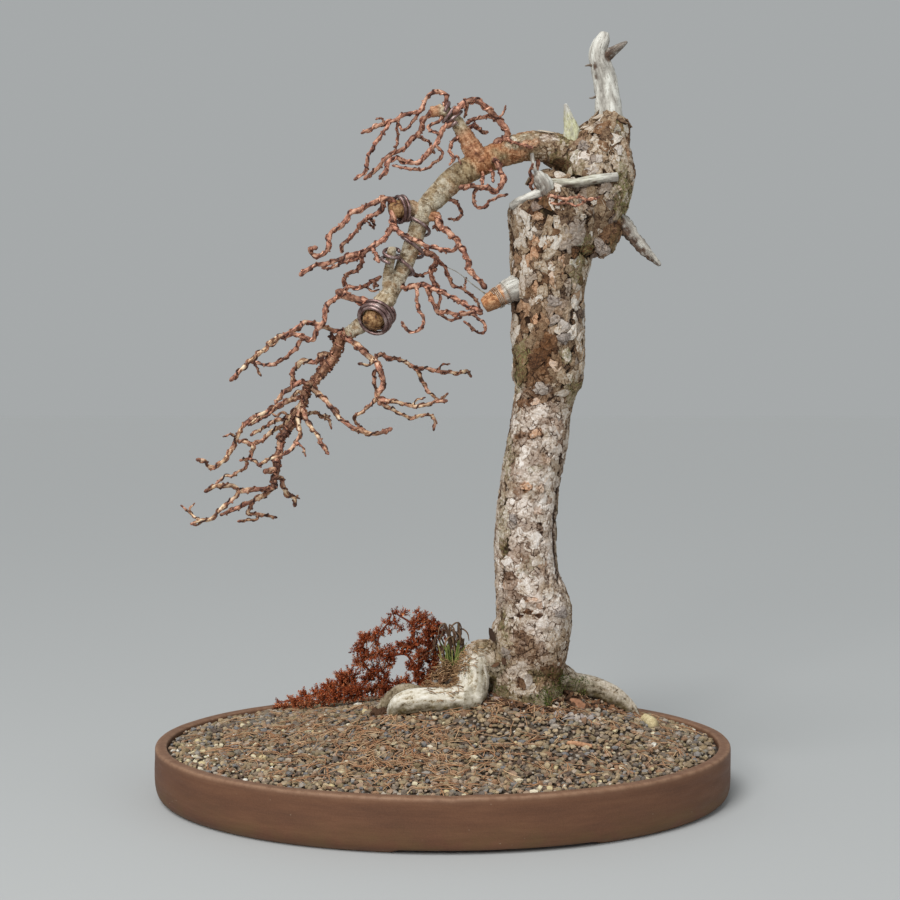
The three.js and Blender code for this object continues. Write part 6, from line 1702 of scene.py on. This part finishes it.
chipForm = {
    "heaps": [  # middle x and y on the ground, spread x and y, count, darkest and lightest
        # the dark heaps at the trunk's foot and under the right root are dark litter set where the shade falls,
        # partly painted shade
        (92, -6, 30, 9, 110, 0.2, 1), (140, 24, 26, 10, 110, 0, 0.5), (60, 4, 16, 10, 60, 0.1, 0.7),
        (168, 36, 18, 8, 50, 0, 0.6), (20, 14, 30, 12, 60, 0.2, 0.8), (86, 4, 26, 6, 140, 0, 0.25),
        (128, 22, 18, 9, 130, 0, 0.25), (128, -18, 16, 7, 46, 0.7, 0.9), (88, -8, 34, 6, 210, 0, 0.3),
        (46, 2, 14, 8, 60, 0, 0.3), (0, 38, 20, 12, 110, 0.1, 0.55),
    ],
    "colors": [(50, 37, 29), (98, 70, 50), (150, 108, 78), (150, 143, 140), (196, 180, 158)],
    "peel": [  # loose flaps of bark: place, the way they face, width, length and thickness, tone
        ((103, 656.5, -2), (0.1, -0.45, 0.89), (11.0, 3.4, 0.5), 0.95),
        ((49, 152, 4), (-0.75, -0.6, 0.3), (4.0, 11.0, 0.8), 0.02),
        ((62, 128, -1), (-0.2, -0.9, 0.4), (4.5, 7.0, 0.8), 0.1),
        ((52, 124, 4), (-0.4, -0.4, 0.8), (6.0, 5.0, 0.7), 0.2),
    ],
    "clod": [(-73, 69, 4, 8), (-66, 73, 7, 8), (-58, 74, 6.5, 9), (-52, 70, 4, 10)],
}
fibreForm = {
    "onRoots": [  # x and z on the front elevation, reach, count
        (2, 116, 12, 60), (14, 128, 8, 60), (30, 135, 9, 40), (-10, 108, 10, 40), (22, 122, 7, 50),
        (0, 104, 14, 60),
    ],
    "straw": (3, 38, 17, 9, 300, 13),  # behind the arched root: x, y, spread x and y, count, height
    "colors": [(92, 66, 46), (150, 116, 82), (192, 160, 122)],
}
looseSeed = 44


def chipBit(place, way, wide, long, thick, rng):
    # a flat chip with an uneven edge, closed above and below
    side = unit(np.cross(way, [0.2, 0.9, 0.3]))
    up = np.cross(way, side)
    angle = spokes(7)
    reach = np.array([rng.uniform(0.7, 1.25) for _ in angle])
    ring = place + (np.cos(angle) * wide * reach)[:, None] * side + (np.sin(angle) * long * reach)[:, None] * up
    return {"verts": np.vstack([ring, place + way * thick, place - way * thick]),
            "tris": np.vstack([fan(7, 0, 7), fan(8, 0, 7)[:, [0, 2, 1]]])}


def makeChips(rng):
    f = chipForm
    shape = Shape("tone")
    for cx, cy, spreadX, spreadY, count, dark, light in f["heaps"]:
        for _ in range(count):
            x, y = cx + rng.gauss(0, spreadX * 0.6), cy + rng.gauss(0, spreadY * 0.6)
            if not insideRim(x, y, 4):
                continue
            way = unit(np.array([rng.gauss(0, 0.35), rng.gauss(-0.2, 0.35), 1.0]))
            place = np.array([x, y, groundHeight(x, y) + rng.uniform(0.8, 2.4)])
            wide = rng.uniform(1.2, 3.6)
            shape.add(chipBit(place, way, wide, wide * rng.uniform(1.0, 2.2), rng.uniform(0.4, 0.9), rng),
                      tone=rng.uniform(dark, light))
    shape.add(tube(smooth(seen(f["clod"]), 1.0), 16, lambda *at: 2.2 * stemRelief(*at), 0.6), tone=0.12)
    for (x, z, y), facing, size, tone in f["peel"]:
        shape.add(chipBit(seen([[x, z, 1, y]])[0, :3], np.array(facing), *size, rng), tone=tone)
    look = toneLook("barkChips", f["colors"], 0.9, 0.2, 1.6, 0.2, 0.3)
    shape.piece("soil_chips", look, "dry_stem", flat=True)


def makeFibres(rng):
    f = fibreForm
    shape = Shape("tone")

    def add(spine, girths):
        shape.add(tube(smooth(np.column_stack([spine, girths]), 3.0), 4), tone=rng.random())

    for place, normal in onBark(rng, f["onRoots"], trunk["normals"][:, 2] > -0.1, 1.4):
        turn, long = rng.uniform(0, 6.28), rng.uniform(5, 13)
        half = np.array([math.cos(turn), 0.5 * math.sin(turn), rng.uniform(-0.25, 0.5)]) * long / 2
        middle = place + normal * rng.uniform(0.4, 1.6)
        bow = gaussian(rng, (0, 1), (0, 1), (0.8, 1))
        add([middle - half, middle + bow, middle + half], [0.25, 0.36, 0.2])
    x, y, spreadX, spreadY, count, high = f["straw"]
    for _ in range(count):
        px, py = x + rng.gauss(0, spreadX * 0.6), y + rng.gauss(0, spreadY * 0.6)
        turn, long = rng.uniform(0, 6.28), rng.uniform(4, 10)
        way = np.array([math.cos(turn), 0.6 * math.sin(turn), rng.uniform(0.0, 0.7)]) * long
        heap = high * math.exp(-((px - x) / spreadX) ** 2 - ((py - y) / spreadY) ** 2)
        foot = np.array([px, py, groundHeight(px, py) + rng.uniform(0.5, 1.5 + heap)])
        bow = gaussian(rng, (0, 1), (0, 1), (1.5, 1))
        add([foot, foot + way / 2 + bow, foot + way], [0.3, 0.4, 0.2])
    shape.piece("root_fibres", toneLook("strawFibres", f["colors"], 0.8, 0.25, 2.0, 0.1, 0.2), "dry_stem")


guyForm = {"radius": 0.42, "line": [(1, 522, 3), (14, 516, 3), (30, 503, 4), (46, 491, 4), (53, 486, 0)]}


def makeGuyWire():
    line, radius = guyForm["line"], guyForm["radius"]
    look = Look("dullSteel", Metallic=0.9)
    tint = look.noise(look.space(), 5.0, 3)
    material = look.done(look.ramp(tint, (0.3, 150, 140, 124), (0.7, 206, 202, 190)),
                         look.level(tint, 0.3, 0.7, (0.3, 0.45)))
    shape = Shape()
    for lift in (0.0, 1.3):
        rows = [[x, z + lift * max(0, (x - 22) / 24), radius, y] for x, z, y in line]
        shape.add(tube(smooth(seen(rows), 1.5), 8, None, 0.2))
    loop = smooth(seen(deadwood["stub"]), 0.5)
    loop = loop[(loop[:, 0] > 52) & (loop[:, 0] < 64)]
    loop = loop[np.argsort(loop[:, 0])]
    loop[:, 3] *= 1.03
    for part, pitch, start, steps in ((loop[:12], 1.6, 0.5, 40), (loop[-10:], 3.4, 2.0, 60)):
        shape.add(tube(winding(part, pitch, radius, start, 1.0, 0, steps), 8, None, 0.2))
    shape.piece("guy_strands", material, "guy_steel", ["guy_wire"])


def dressDrainMesh():
    look = Look("blackMesh", Specular_IOR_Level=0.4)
    even = look.space()
    material = look.done(look.ramp(look.noise(even, 4, 3), (0.3, 24, 24, 23), (0.7, 44, 44, 42)),
                         look.level(look.noise(even, 2, 3), 0.3, 0.7, (0.45, 0.65)),
                         look.bump(look.noise(even, 0.8, 3), 0.15, 0.4))
    for node in ("drain_mesh_left", "drain_mesh_right"):
        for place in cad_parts[node].material_slots:
            place.material = material


makeMoss()
makeLitter()
looseDraws = random.Random(looseSeed)
makeChips(looseDraws)
makeFibres(looseDraws)
makeGuyWire()
dressDrainMesh()
print("small pieces made")

print("done")
